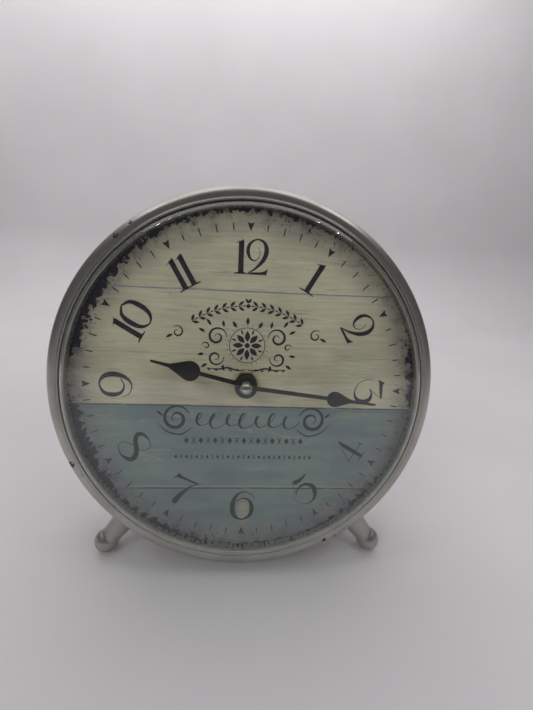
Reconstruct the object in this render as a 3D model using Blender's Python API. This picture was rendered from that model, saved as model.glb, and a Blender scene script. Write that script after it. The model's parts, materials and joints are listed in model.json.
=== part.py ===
"""Table clock: a spun metal drum case on two turned feet, with a domed glass and a battery movement.

Sizes are in metres. The clock is modelled upright around the centre of its dial: +X is to the right
of the dial, +Y goes into the case and +Z is up. An empty named clock_frame then leans everything back
and stands it on the ground, so that the finished clock has its origin under the middle of its box.
"""

from math import acos, atan2, cos, degrees, pi, radians, sin, sqrt

import bmesh
import bpy
from mathutils import Vector

MM = 0.001
GAP = 0.3 * MM                  # clearance between pieces that touch

# Case
CASE_RADIUS = 80.0 * MM         # outside of the drum
CASE_WALL = 0.9 * MM            # the sheet of the drum
CASE_DEPTH = 42.6 * MM          # length of the drum
FRONT_RING_WIDTH = 10.0 * MM    # ring that backs the dial plate, from the outside of the drum
REAR_RING_WIDTH = 8.0 * MM      # ring that takes the back cover's screws
RING_THICKNESS = 0.9 * MM
LEAN = radians(6.0)             # how far the clock leans back

# Bezel
BEZEL_ROLL_R = 4.4 * MM         # half axes of the rolled outer edge
BEZEL_ROLL_Y = 4.5 * MM
BEZEL_ROLL_REACH = -0.4 * MM    # roll centre, measured out from the drum
BEZEL_ROLL_DEPTH = 1.0 * MM
BEZEL_WIDTH = 6.1 * MM          # from the outside of the drum in to the visible dial
BEZEL_HEIGHT = 4.6 * MM         # crest in front of the dial
SEAT_HEIGHT = 3.0 * MM          # ledge that carries the glass
SEAT_WIDTH = 2.9 * MM

# Glass
GLASS_THICKNESS = 1.8 * MM
GLASS_CLEARANCE = 2.6 * MM      # from the cap nut to the inside of the glass
SHOULDER_WIDTH = 4.6 * MM       # from the rim of its seat in to the edge of the dome
SHOULDER_DROP = 3.3 * MM        # the dome's inner edge lies this far behind the minute hand
GASKET_THICKNESS = 0.6 * MM

# Dial
PAPER_THICKNESS = 0.3 * MM
PLATE_THICKNESS = 2.5 * MM
DIAL_PLAY = 0.4 * MM            # the dial is this much smaller than the drum
SPINDLE_RISE = 2.3 * MM         # the spindle sits a little above the middle of the dial
WASHER_RADIUS = 10.0 * MM
WASHER_THICKNESS = 1.0 * MM

# Hands
HAND_THICKNESS = 0.5 * MM
HOUR_SPADE = (4.3 * MM, 16.4 * MM, 4.2 * MM, 1.0 * MM, 0.5 * MM)      # hub, tip to disc, disc, rod, tip
MINUTE_SPADE = (4.65 * MM, 17.7 * MM, 3.3 * MM, 0.95 * MM, 0.45 * MM)
HOUR_HAND_HEIGHT = 7.0 * MM     # in front of the dial
HAND_SPACING = 3.0 * MM
MINUTE_HAND_MARGIN = 19.0 * MM  # shorter than the visible dial's radius
HOUR_HAND_MARGIN = 33.7 * MM
HOUR_HAND_ANGLE = radians(-76.4)
MINUTE_HAND_ANGLE = radians(96.4)
CAP_NUT_RISE = 5.2 * MM         # its top in front of the minute hand
CAP_NUT_RADIUS = 2.6 * MM
CAP_NUT_BORE = 2.8 * MM         # how far the arbor reaches into it
DIAL_NUT_WIDTH = 9.0 * MM       # across flats
DIAL_NUT_FRONT = -2.1 * MM
BUSHING_FRONT = -2.6 * MM

# Movement
MOVEMENT_WALL = 1.2 * MM
MOVEMENT_COVER = 1.2 * MM
BUSHING_RADIUS = 4.0 * MM
MINUTE_ARBOR_RADIUS = 1.5 * MM
PIPE_RADIUS = 2.5 * MM
ARBOR_RADIUS = 0.5 * MM
PIVOT_PLAY = 0.15 * MM
LAYER = 0.9 * MM                # thickness of a wheel
LAYER_GAP = 0.4 * MM
PINION_OVERLAP = 0.3 * MM       # how far a pinion runs into its own wheel
BRIDGE_THICKNESS = 0.8 * MM
BATTERY_RADIUS = 7.0 * MM
BATTERY_LENGTH = 50.2 * MM
BATTERY_PLAY = 0.7 * MM
CONTACT_ROOM = 1.7 * MM         # between each end of the battery and the wall
BAY_WALL = 1.0 * MM
WHEEL_CLEARANCE = 1.14 * MM     # between the hour wheel and the battery's bay
KNOB_RADIUS = 6.0 * MM
KNOB_HEIGHT = 3.6 * MM
KNOB_BORE = 2.4 * MM            # how far the arbor reaches into it
KNOB_GRIPS = 16

# Back cover
COVER_INSET = 1.5 * MM          # the cover is this much smaller than the drum
COVER_THICKNESS = 0.9 * MM
COVER_STEP = 1.5 * MM
COVER_RIM = 12.0 * MM           # flat rim, from the outside of the drum
WINDOW_SIDE = 1.5 * MM          # window beside the movement
WINDOW_END = 4.0 * MM           # window above and below the movement
COVER_SCREWS = 4
SCREW_INSET = 5.0 * MM          # from the outside of the drum
SCREW_RADIUS = 1.5 * MM
SCREW_HEAD_RADIUS = 2.8 * MM
SCREW_HEAD_HEIGHT = 1.6 * MM
SCREW_LENGTH = 5.0 * MM

# Feet
FOOT_ANGLE = radians(38.9)      # from straight down
FOOT_SETBACK = 9.6 * MM         # behind the front of the drum
FOOT_DROP = 1.7155 * MM         # ball centre below the bottom of the drum
BALL_RADIUS = 5.6 * MM
FOOT_BASE_RADIUS = 7.2 * MM
FOOT_NECK_RADIUS = 4.6 * MM
FOOT_FLAT = 0.4 * MM            # how much of the ball is ground away
STUD_RADIUS = 2.0 * MM
NUT_HEIGHT = 3.0 * MM
NUT_WIDTH = 7.0 * MM            # across flats
BUMPER_SETBACK = 6.0 * MM       # in front of the drum's back
BUMPER_RADIUS = 5.0 * MM
BUMPER_LENGTH = 12.0 * MM

CASE_SEGMENTS = 48
SMALL_SEGMENTS = 18
TINY_SEGMENTS = 12

# Gears: modules and teeth. Each pair's modules give the distance between its arbors.
MINUTE_MODULE = 0.5 * MM        # cannon pinion 12, minute wheel 36
CANNON_TEETH = 12
MINUTE_WHEEL_TEETH = 36
MINUTE_PINION_TEETH = 10
HOUR_WHEEL_TEETH = 40
THIRD_MODULE = 0.38 * MM        # second pinion 6, third wheel 45
PINION_TEETH = 6
THIRD_WHEEL_TEETH = 45
CENTRE_WHEEL_TEETH = 48
SECOND_MODULE = 0.55 * MM       # intermediate pinion 6, second wheel 30
SECOND_WHEEL_TEETH = 30
INTERMEDIATE_MODULE = 0.42 * MM  # rotor pinion 6, intermediate wheel 36
INTERMEDIATE_WHEEL_TEETH = 36
TOOTH_RISE = 0.75               # tooth above the pitch circle, in modules
MAGNET_RADIUS = 3.0 * MM
MAGNET_THICKNESS = 1.4 * MM
STATOR_THICKNESS = 0.7 * MM
COIL_RADIUS = 1.9 * MM
COIL_LENGTH = 17.0 * MM
COIL_CLEARANCE = 0.6 * MM       # from the magnet and from the housing
BOARD_THICKNESS = 0.8 * MM


def distance(module, teeth_a, teeth_b):
    return module * (teeth_a + teeth_b) / 2


def polar(length, degrees, start=(0.0, 0.0)):
    angle = radians(degrees)
    return (start[0] + length * cos(angle), start[1] + length * sin(angle))


# Radii and heights of what fits round the dial, from the drum in and from the dial out
BEZEL_SIGHT_RADIUS = CASE_RADIUS - BEZEL_WIDTH
SEAT_RADIUS = BEZEL_SIGHT_RADIUS + SEAT_WIDTH
SHOULDER_RADIUS = SEAT_RADIUS - SHOULDER_WIDTH
DIAL_RADIUS = CASE_RADIUS - DIAL_PLAY
MINUTE_HAND_HEIGHT = HOUR_HAND_HEIGHT + HAND_SPACING
CAP_NUT_HEIGHT = MINUTE_HAND_HEIGHT + CAP_NUT_RISE
GLASS_HEIGHT = CAP_NUT_HEIGHT + GLASS_CLEARANCE + GLASS_THICKNESS
SHOULDER_HEIGHT = MINUTE_HAND_HEIGHT - SHOULDER_DROP + GLASS_THICKNESS
MINUTE_HAND_LENGTH = BEZEL_SIGHT_RADIUS - MINUTE_HAND_MARGIN
HOUR_HAND_LENGTH = BEZEL_SIGHT_RADIUS - HOUR_HAND_MARGIN

MINUTE_DISTANCE = distance(MINUTE_MODULE, CANNON_TEETH, MINUTE_WHEEL_TEETH)
HOUR_MODULE = 2 * MINUTE_DISTANCE / (MINUTE_PINION_TEETH + HOUR_WHEEL_TEETH)
THIRD_DISTANCE = distance(THIRD_MODULE, PINION_TEETH, THIRD_WHEEL_TEETH)
CENTRE_MODULE = 2 * THIRD_DISTANCE / (PINION_TEETH + CENTRE_WHEEL_TEETH)
INTERMEDIATE_DISTANCE = distance(SECOND_MODULE, PINION_TEETH, SECOND_WHEEL_TEETH)
ROTOR_DISTANCE = distance(INTERMEDIATE_MODULE, PINION_TEETH, INTERMEDIATE_WHEEL_TEETH)

# Arbors as (x, z) from the spindle, and the directions in which the wheels mesh
SPINDLE = (0.0, 0.0)
DIAL_CENTRE = (0.0, -SPINDLE_RISE)
MINUTE_DIRECTION = 40.0
THIRD_DIRECTION = 170.0
INTERMEDIATE_DIRECTION = 100.0
ROTOR_DIRECTION = 110.0
MINUTE_AXIS = polar(MINUTE_DISTANCE, MINUTE_DIRECTION)
THIRD_AXIS = polar(THIRD_DISTANCE, THIRD_DIRECTION)
INTERMEDIATE_AXIS = polar(INTERMEDIATE_DISTANCE, INTERMEDIATE_DIRECTION)
ROTOR_AXIS = polar(ROTOR_DISTANCE, ROTOR_DIRECTION, INTERMEDIATE_AXIS)
COIL_HEIGHT = ROTOR_AXIS[1] + MAGNET_RADIUS + COIL_RADIUS + COIL_CLEARANCE

# Where the layers of the movement lie, from the dial back
PLATE_BACK = PAPER_THICKNESS + GAP + PLATE_THICKNESS
CASE_FRONT = PLATE_BACK + GAP
CASE_BACK = CASE_FRONT + CASE_DEPTH
MOVEMENT_FRONT = PLATE_BACK + GAP + WASHER_THICKNESS + GAP
CAVITY_FRONT = MOVEMENT_FRONT + MOVEMENT_WALL
PITCH = LAYER + LAYER_GAP
HOUR_LAYER = CAVITY_FRONT + GAP
MINUTE_LAYER = HOUR_LAYER + PITCH
BRIDGE_LAYER = MINUTE_LAYER + PITCH
CENTRE_LAYER = BRIDGE_LAYER + BRIDGE_THICKNESS + LAYER_GAP
THIRD_LAYER = CENTRE_LAYER + PITCH
SECOND_LAYER = THIRD_LAYER + PITCH
INTERMEDIATE_LAYER = SECOND_LAYER + PITCH
MAGNET_LAYER = INTERMEDIATE_LAYER + LAYER + GAP
MOTOR_MIDDLE = MAGNET_LAYER + MAGNET_THICKNESS / 2
MOVEMENT_BACK = MOTOR_MIDDLE + COIL_RADIUS
COVER_FRONT = MOVEMENT_BACK + GAP
COVER_BACK = COVER_FRONT + MOVEMENT_COVER

# The movement's outline: the battery sets its width, and the wheels and the battery its height
CAVITY_HALF = BATTERY_LENGTH / 2 + CONTACT_ROOM
CAVITY_TOP = max(CAVITY_HALF, COIL_HEIGHT + COIL_RADIUS + COIL_CLEARANCE)
BAY_TOP = -HOUR_MODULE * (HOUR_WHEEL_TEETH / 2 + TOOTH_RISE) - WHEEL_CLEARANCE - BAY_WALL
BAY_BOTTOM = BAY_TOP - 2 * BATTERY_RADIUS - BATTERY_PLAY
MOVEMENT_HALF = CAVITY_HALF + MOVEMENT_WALL
MOVEMENT_TOP = CAVITY_TOP + MOVEMENT_WALL
MOVEMENT_BOTTOM = BAY_BOTTOM - MOVEMENT_WALL

# Where the supports are, from the dial and from its centre
FOOT_DEPTH = CASE_FRONT + FOOT_SETBACK
FOOT_REACH = (CASE_RADIUS + FOOT_DROP) / cos(FOOT_ANGLE)
BUMPER_DEPTH = CASE_BACK - BUMPER_SETBACK


def new_material(name, colour, roughness, metallic, alpha=1.0):
    material = bpy.data.materials.new(name)
    material.use_nodes = True
    shader = material.node_tree.nodes["Principled BSDF"]
    shader.inputs["Base Color"].default_value = (*colour, 1.0)
    shader.inputs["Roughness"].default_value = roughness
    shader.inputs["Metallic"].default_value = metallic
    shader.inputs["Alpha"].default_value = alpha
    return material


def new_materials():
    looks = {
        "satin_silver": ((0.56, 0.55, 0.52), 0.38, 0.9),
        "dial_paper": ((0.68, 0.64, 0.52), 0.75, 0.0),
        "hardboard": ((0.30, 0.20, 0.12), 0.85, 0.0),
        "black_hand": ((0.03, 0.03, 0.035), 0.45, 0.0),
        "brass": ((0.72, 0.52, 0.24), 0.32, 1.0),
        "polished_steel": ((0.72, 0.72, 0.70), 0.12, 1.0),
        "zinc_steel": ((0.62, 0.63, 0.62), 0.35, 1.0),
        "black_rubber": ((0.03, 0.03, 0.03), 0.8, 0.0),
        "clear_gasket": ((0.75, 0.75, 0.72), 0.4, 0.0),
        "black_plastic": ((0.035, 0.035, 0.04), 0.5, 0.0),
        "white_plastic": ((0.85, 0.85, 0.82), 0.45, 0.0),
        "circuit_green": ((0.06, 0.25, 0.12), 0.5, 0.0),
        "copper_wire": ((0.75, 0.33, 0.16), 0.35, 1.0),
        "battery_wrap": ((0.10, 0.12, 0.16), 0.35, 0.3),
    }
    made = {name: new_material(name, *look) for name, look in looks.items()}
    made["glass"] = new_material("glass", (0.92, 0.96, 0.95), 0.05, 0.0, 0.3)
    return made


def ellipse_arc(centre_r, centre_y, half_r, half_y, start, end, steps):
    """Points (radius, depth) along part of an ellipse; 90 degrees points to the front."""
    points = []
    for step in range(steps + 1):
        angle = radians(start + (end - start) * step / steps)
        points.append((centre_r + half_r * cos(angle), centre_y - half_y * sin(angle)))
    return points


def finish_piece(name, mesh_data, material, location):
    """Makes the object from a bmesh whose faces close one solid."""
    bmesh.ops.recalc_face_normals(mesh_data, faces=mesh_data.faces)
    mesh = bpy.data.meshes.new(name)
    mesh_data.to_mesh(mesh)
    mesh_data.free()
    mesh.materials.append(material)
    mesh.shade_smooth()
    mesh.set_sharp_from_angle(angle=radians(35.0))
    piece = bpy.data.objects.new(name, mesh)
    piece.location = location
    bpy.context.scene.collection.objects.link(piece)
    return piece


def turned(name, outline, material, axis=SPINDLE, segments=SMALL_SEGMENTS):
    """A solid turned around the Y axis. An outline of (radius, depth) points that starts and ends
    on the axis stays open there; any other outline is a closed ring section."""
    mesh_data = bmesh.new()
    verts = [mesh_data.verts.new((radius, depth, 0.0)) for radius, depth in outline]
    on_axis = outline[0][0] == 0.0 and outline[-1][0] == 0.0
    pairs = list(zip(verts, verts[1:]))
    if not on_axis:
        pairs.append((verts[-1], verts[0]))
    edges = [mesh_data.edges.new(pair) for pair in pairs]
    bmesh.ops.spin(mesh_data, geom=verts + edges, cent=(0.0, 0.0, 0.0), axis=(0.0, 1.0, 0.0),
                   angle=2 * pi, steps=segments, use_merge=True)
    bmesh.ops.remove_doubles(mesh_data, verts=mesh_data.verts, dist=0.001 * MM)
    return finish_piece(name, mesh_data, material, (axis[0], 0.0, axis[1]))


def cylinder(name, radius, front, back, material, axis=SPINDLE, segments=SMALL_SEGMENTS):
    outline = [(0.0, front), (radius, front), (radius, back), (0.0, back)]
    return turned(name, outline, material, axis, segments)


def prism(name, outline, front, back, material, axis=SPINDLE):
    """An outline of (x, z) points, drawn straight back from front to back."""
    mesh_data = bmesh.new()
    verts = [mesh_data.verts.new((x, front, z)) for x, z in outline]
    face = mesh_data.faces.new(verts)
    swept = bmesh.ops.extrude_face_region(mesh_data, geom=[face])["geom"]
    moved = [item for item in swept if isinstance(item, bmesh.types.BMVert)]
    bmesh.ops.translate(mesh_data, verts=moved, vec=(0.0, back - front, 0.0))
    return finish_piece(name, mesh_data, material, (axis[0], 0.0, axis[1]))


def combine(piece, tool, operation="UNION"):
    """Joins the tool to the piece or cuts it away, and removes the tool."""
    modifier = piece.modifiers.new(operation, "BOOLEAN")
    modifier.operation = operation
    modifier.solver = "EXACT"
    modifier.object = tool
    bpy.context.view_layer.update()
    depsgraph = bpy.context.evaluated_depsgraph_get()
    result = bpy.data.meshes.new_from_object(piece.evaluated_get(depsgraph))
    piece.modifiers.clear()
    piece.data = result
    piece.data.set_sharp_from_angle(angle=radians(35.0))
    bpy.data.objects.remove(tool)
    return piece


def drill(piece, radius, front, back, axis=SPINDLE, segments=TINY_SEGMENTS):
    margin = 0.5 * MM
    tool = cylinder("drill", radius, front - margin, back + margin, piece.data.materials[0], axis, segments)
    return combine(piece, tool, "DIFFERENCE")


def rounded_rectangle(left, right, bottom, top, corner, steps=4):
    points = []
    centres = [(right - corner, top - corner, 0), (left + corner, top - corner, 90),
               (left + corner, bottom + corner, 180), (right - corner, bottom + corner, 270)]
    for x, z, start in centres:
        for step in range(steps + 1):
            points.append(polar(corner, start + 90 * step / steps, (x, z)))
    return points


def hexagon(across_flats):
    return [polar(across_flats / sqrt(3), 60 * corner) for corner in range(6)]


def gear_outline(module, teeth, tooth_at, thin=0.36):
    """Straight-flanked teeth, one of them centred on the direction tooth_at, in degrees.
    thin is the tooth's width on the pitch circle as a share of the pitch."""
    pitch_radius = module * teeth / 2
    root = pitch_radius - 1.15 * module
    tip = pitch_radius + TOOTH_RISE * module
    pitch_angle = 360 / teeth
    points = []
    for tooth in range(teeth):
        middle = tooth_at + tooth * pitch_angle
        for radius, share in ((root, -0.72), (tip, -0.26), (tip, 0.26), (root, 0.72)):
            points.append(polar(radius, middle + share * thin * pitch_angle))
    return points


def facing(module, teeth, direction, thin=0.36):
    """A gear with a gap, not a tooth, in that direction, for the wheel that it meets there."""
    return gear_outline(module, teeth, direction + 180 / teeth, thin)


def gear(name, outline, layer, material, axis):
    return prism(name, outline, layer, layer + LAYER, material, axis)


def make_case(looks):
    """The drum, the two flat rings fixed inside its ends, and the bezel."""
    silver = looks["satin_silver"]
    inner = CASE_RADIUS - CASE_WALL
    drum = turned("case_drum", ring_section(inner, CASE_RADIUS, CASE_FRONT, CASE_BACK), silver, DIAL_CENTRE,
                  CASE_SEGMENTS)
    for angle, depth in ((FOOT_ANGLE, FOOT_DEPTH), (-FOOT_ANGLE, FOOT_DEPTH), (0.0, BUMPER_DEPTH)):
        hole = cylinder("hole", STUD_RADIUS + GAP, inner - 3 * MM, CASE_RADIUS + 3 * MM, silver,
                        segments=TINY_SEGMENTS)
        aim_radially(hole, angle, depth)
        combine(drum, hole, "DIFFERENCE")
    front_ring = turned("front_ring", ring_section(CASE_RADIUS - FRONT_RING_WIDTH, inner - GAP, CASE_FRONT,
                                                   CASE_FRONT + RING_THICKNESS), silver, DIAL_CENTRE, CASE_SEGMENTS)
    rear_ring = turned("rear_ring", ring_section(CASE_RADIUS - REAR_RING_WIDTH, inner - GAP,
                                                 CASE_BACK - RING_THICKNESS, CASE_BACK), silver, DIAL_CENTRE,
                       CASE_SEGMENTS)
    for place in cover_screw_places():
        drill(rear_ring, SCREW_RADIUS + GAP, CASE_BACK - RING_THICKNESS, CASE_BACK, place)
    return [drum, front_ring, rear_ring, make_bezel(silver)]


def ring_section(inner, outer, front, back):
    return [(inner, front), (outer, front), (outer, back), (inner, back)]


def make_bezel(silver):
    roll_centre = CASE_RADIUS + BEZEL_ROLL_REACH
    crest = 0.8 * MM
    skirt = CASE_RADIUS + GAP + 0.05 * MM
    ledge_back = 1.4 * MM - SEAT_HEIGHT
    outline = [(BEZEL_SIGHT_RADIUS + 0.7 * MM, -SEAT_HEIGHT), (SEAT_RADIUS, -SEAT_HEIGHT)]
    outline += ellipse_arc(SEAT_RADIUS + 0.1 * MM + crest, crest - BEZEL_HEIGHT, crest, crest, 180, 20, 3)
    outline += ellipse_arc(roll_centre, BEZEL_ROLL_DEPTH, BEZEL_ROLL_R, BEZEL_ROLL_Y, 90, -78, 9)
    outline += [
        (skirt, BEZEL_ROLL_DEPTH + BEZEL_ROLL_Y * 0.98), (skirt, -0.9 * MM), (skirt - 0.8 * MM, ledge_back),
        (BEZEL_SIGHT_RADIUS + 1.6 * MM, ledge_back), (BEZEL_SIGHT_RADIUS + 1.0 * MM, -GAP),
        (BEZEL_SIGHT_RADIUS, -GAP),
    ]
    return turned("bezel_ring", outline, silver, DIAL_CENTRE, CASE_SEGMENTS)


def dome_arc(edge_radius, edge_height, top_height, steps):
    """Points from the top of a dome out to its edge, along one sphere."""
    rise = top_height - edge_height
    sphere = (edge_radius ** 2 + rise ** 2) / (2 * rise)
    points = []
    for step in range(steps + 1):
        radius = edge_radius * step / steps
        points.append((radius, sphere - top_height - sqrt(sphere ** 2 - radius ** 2)))
    return points


def make_glass(looks):
    foot = SEAT_HEIGHT + GAP + GASKET_THICKNESS + GAP
    edge = SEAT_RADIUS - 0.5 * MM
    shoulder = SHOULDER_HEIGHT - foot
    outer = dome_arc(SHOULDER_RADIUS, SHOULDER_HEIGHT, GLASS_HEIGHT, 6)
    outer += ellipse_arc(SHOULDER_RADIUS, -foot, edge - SHOULDER_RADIUS, shoulder, 65, 0, 3)
    inner_edge = edge - 0.9 * GLASS_THICKNESS
    inner = dome_arc(SHOULDER_RADIUS - 0.64 * GLASS_THICKNESS, SHOULDER_HEIGHT - GLASS_THICKNESS,
                     GLASS_HEIGHT - GLASS_THICKNESS, 6)
    inner += [(inner_edge, -foot)]
    glass = turned("lens", outer + inner[::-1], looks["glass"], DIAL_CENTRE, CASE_SEGMENTS)
    gasket_front = -SEAT_HEIGHT - GAP - GASKET_THICKNESS
    gasket = turned("lens_gasket", ring_section(inner_edge, edge, gasket_front, gasket_front + GASKET_THICKNESS),
                    looks["clear_gasket"], DIAL_CENTRE, CASE_SEGMENTS)
    return [glass, gasket]


def make_dial(looks):
    paper = cylinder("dial_paper", DIAL_RADIUS - GAP, 0.0, PAPER_THICKNESS, looks["dial_paper"], DIAL_CENTRE,
                     CASE_SEGMENTS)
    plate = cylinder("dial_plate", DIAL_RADIUS, PAPER_THICKNESS + GAP, PLATE_BACK, looks["hardboard"], DIAL_CENTRE,
                     CASE_SEGMENTS)
    hole = BUSHING_RADIUS + GAP
    for disc in (paper, plate):
        drill(disc, hole, 0.0, PLATE_BACK, segments=SMALL_SEGMENTS)
    washer_front = PLATE_BACK + GAP
    washer = ring_section(hole, WASHER_RADIUS, washer_front, washer_front + WASHER_THICKNESS)
    return [paper, plate, turned("rubber_washer", washer, looks["black_rubber"])]


def spade(length, hub, tip_to_disc, disc, rod, tip):
    """Half of a spade hand's outline, from its tip to its tail, as (across, along) points."""
    disc_at = length - tip_to_disc
    points = [(0.0, length), (tip * 0.75, length - tip * 0.3), (tip, length - tip)]
    neck = disc_at + 2.05 * disc
    points += [(tip * 1.25, (length + neck) / 2), (tip * 1.7, neck)]
    for turn in range(42, -76, -13):
        flare = 1.0 + 0.42 * max(0.0, sin(radians(turn))) ** 1.5
        points.append((disc * cos(radians(turn)), disc_at + flare * disc * sin(radians(turn))))
    points.append((rod * 0.85, disc_at - sqrt(disc ** 2 - rod ** 2) * 1.02))
    start = atan2(rod, hub)
    for step in range(9):
        angle = start + (pi - start) * step / 9
        points.append((hub * sin(angle), hub * cos(angle)))
    return points + [(0.0, -hub)]


def make_hand(name, angle, height, half, bore, material):
    outline = half + [(-across, along) for across, along in half[-2:0:-1]]
    turned_outline = [(across * cos(angle) + along * sin(angle), along * cos(angle) - across * sin(angle))
                      for across, along in outline]
    front = -height - HAND_THICKNESS / 2
    hand = prism(name, turned_outline, front, front + HAND_THICKNESS, material)
    return drill(hand, bore + GAP, front, front + HAND_THICKNESS, segments=SMALL_SEGMENTS)


def make_hands(looks):
    black = looks["black_hand"]
    hour = make_hand("hour_hand", HOUR_HAND_ANGLE, HOUR_HAND_HEIGHT, spade(HOUR_HAND_LENGTH, *HOUR_SPADE),
                     PIPE_RADIUS, black)
    minute = make_hand("minute_hand", MINUTE_HAND_ANGLE, MINUTE_HAND_HEIGHT,
                       spade(MINUTE_HAND_LENGTH, *MINUTE_SPADE), MINUTE_ARBOR_RADIUS, black)
    foot = -MINUTE_HAND_HEIGHT - HAND_THICKNESS / 2 - GAP
    bore = MINUTE_ARBOR_RADIUS + GAP
    dome = CAP_NUT_RADIUS * 1.08
    side = dome - CAP_NUT_HEIGHT
    cap_outline = [(0.0, -CAP_NUT_HEIGHT)]
    cap_outline += ellipse_arc(0.0, side, CAP_NUT_RADIUS, dome, 72, 0, 4)
    cap_outline += [(CAP_NUT_RADIUS, foot), (bore, foot), (bore, foot - CAP_NUT_BORE), (0.0, foot - CAP_NUT_BORE)]
    cap = turned("cap_nut", cap_outline, looks["polished_steel"])
    nut = prism("centre_nut", hexagon(DIAL_NUT_WIDTH), DIAL_NUT_FRONT, -GAP, looks["brass"])
    drill(nut, BUSHING_RADIUS + GAP, DIAL_NUT_FRONT, -GAP, segments=SMALL_SEGMENTS)
    return [hour, minute, cap, nut]


def make_movement_case(looks):
    black = looks["black_plastic"]
    half = MOVEMENT_HALF
    beyond = MOVEMENT_BACK + 1.0 * MM
    housing = prism("movement_housing", rounded_rectangle(-half, half, MOVEMENT_BOTTOM, MOVEMENT_TOP, 3.0 * MM),
                    MOVEMENT_FRONT, MOVEMENT_BACK, black)
    for bottom, top in ((BAY_TOP + BAY_WALL, CAVITY_TOP), (BAY_BOTTOM, BAY_TOP)):
        room = prism("room", rounded_rectangle(-CAVITY_HALF, CAVITY_HALF, bottom, top, 1.5 * MM), CAVITY_FRONT,
                     beyond, black)
        combine(housing, room, "DIFFERENCE")
    combine(housing, cylinder("bushing", BUSHING_RADIUS, BUSHING_FRONT, MOVEMENT_FRONT + MOVEMENT_WALL / 2, black))
    drill(housing, PIPE_RADIUS + GAP, BUSHING_FRONT, CAVITY_FRONT, segments=SMALL_SEGMENTS)
    pivot = ARBOR_RADIUS + PIVOT_PLAY
    drill(housing, pivot, MOVEMENT_FRONT, CAVITY_FRONT, MINUTE_AXIS)

    edge = CAVITY_HALF - LAYER_GAP
    bridge_back = BRIDGE_LAYER + BRIDGE_THICKNESS
    bridge = prism("train_bridge", rounded_rectangle(-edge, edge, BAY_TOP + BAY_WALL + LAYER_GAP,
                                                     CAVITY_TOP - LAYER_GAP, 1.5 * MM),
                   BRIDGE_LAYER, bridge_back, black)
    drill(bridge, MINUTE_ARBOR_RADIUS + GAP, BRIDGE_LAYER, bridge_back)
    cover = prism("movement_cover", rounded_rectangle(-half, half, BAY_TOP + BAY_WALL / 2, MOVEMENT_TOP, 3.0 * MM),
                  COVER_FRONT, COVER_BACK, black)
    for axis in (THIRD_AXIS, INTERMEDIATE_AXIS, ROTOR_AXIS, MINUTE_AXIS):
        drill(bridge, pivot, BRIDGE_LAYER, bridge_back, axis)
        drill(cover, pivot, COVER_FRONT, COVER_BACK, axis)
    drill(cover, pivot, COVER_FRONT, COVER_BACK)
    return [housing, bridge, cover]


def make_motion_work(looks):
    """The cannon pinion on the minute arbor drives the minute wheel, and its pinion the hour wheel."""
    white, steel = looks["white_plastic"], looks["polished_steel"]
    arbor_front = -MINUTE_HAND_HEIGHT - HAND_THICKNESS / 2 - CAP_NUT_BORE + GAP
    arbor_back = CENTRE_LAYER + LAYER + 0.1 * MM
    arbor = cylinder("minute_arbor", MINUTE_ARBOR_RADIUS, arbor_front, arbor_back, steel)
    cannon = gear("cannon", gear_outline(MINUTE_MODULE, CANNON_TEETH, MINUTE_DIRECTION), MINUTE_LAYER, steel, SPINDLE)
    combine(arbor, cannon)
    drill(arbor, ARBOR_RADIUS + PIVOT_PLAY, arbor_back - 1.5 * MM, arbor_back)

    back = MINUTE_DIRECTION + 180
    minute = gear("minute_wheel", facing(MINUTE_MODULE, MINUTE_WHEEL_TEETH, back), MINUTE_LAYER, white, MINUTE_AXIS)
    pinion = prism("pinion", facing(HOUR_MODULE, MINUTE_PINION_TEETH, back), HOUR_LAYER,
                   MINUTE_LAYER + PINION_OVERLAP, white, MINUTE_AXIS)
    combine(minute, pinion)
    knob_front = COVER_BACK + GAP
    combine(minute, cylinder("arbor", ARBOR_RADIUS, MOVEMENT_FRONT + GAP, knob_front + KNOB_BORE, white,
                             MINUTE_AXIS, TINY_SEGMENTS))

    hour = gear("hour_wheel", gear_outline(HOUR_MODULE, HOUR_WHEEL_TEETH, MINUTE_DIRECTION), HOUR_LAYER, white,
                SPINDLE)
    pipe_front = -HOUR_HAND_HEIGHT - HAND_THICKNESS / 2 - 0.3 * MM
    combine(hour, cylinder("pipe", PIPE_RADIUS, pipe_front, HOUR_LAYER + LAYER / 2, white))
    drill(hour, MINUTE_ARBOR_RADIUS + GAP, pipe_front, HOUR_LAYER + LAYER)
    return [arbor, minute, hour, make_knob(knob_front, white)]


def make_knob(front, white):
    outline = []
    for step in range(2 * KNOB_GRIPS):
        radius = KNOB_RADIUS * (1.0 if step % 2 else 0.93)
        outline.append(polar(radius, 180 * step / KNOB_GRIPS))
    knob = prism("set_knob", outline, front, front + KNOB_HEIGHT, white, MINUTE_AXIS)
    return drill(knob, ARBOR_RADIUS + GAP, front, front + KNOB_BORE - 0.2 * MM, MINUTE_AXIS)


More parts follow.
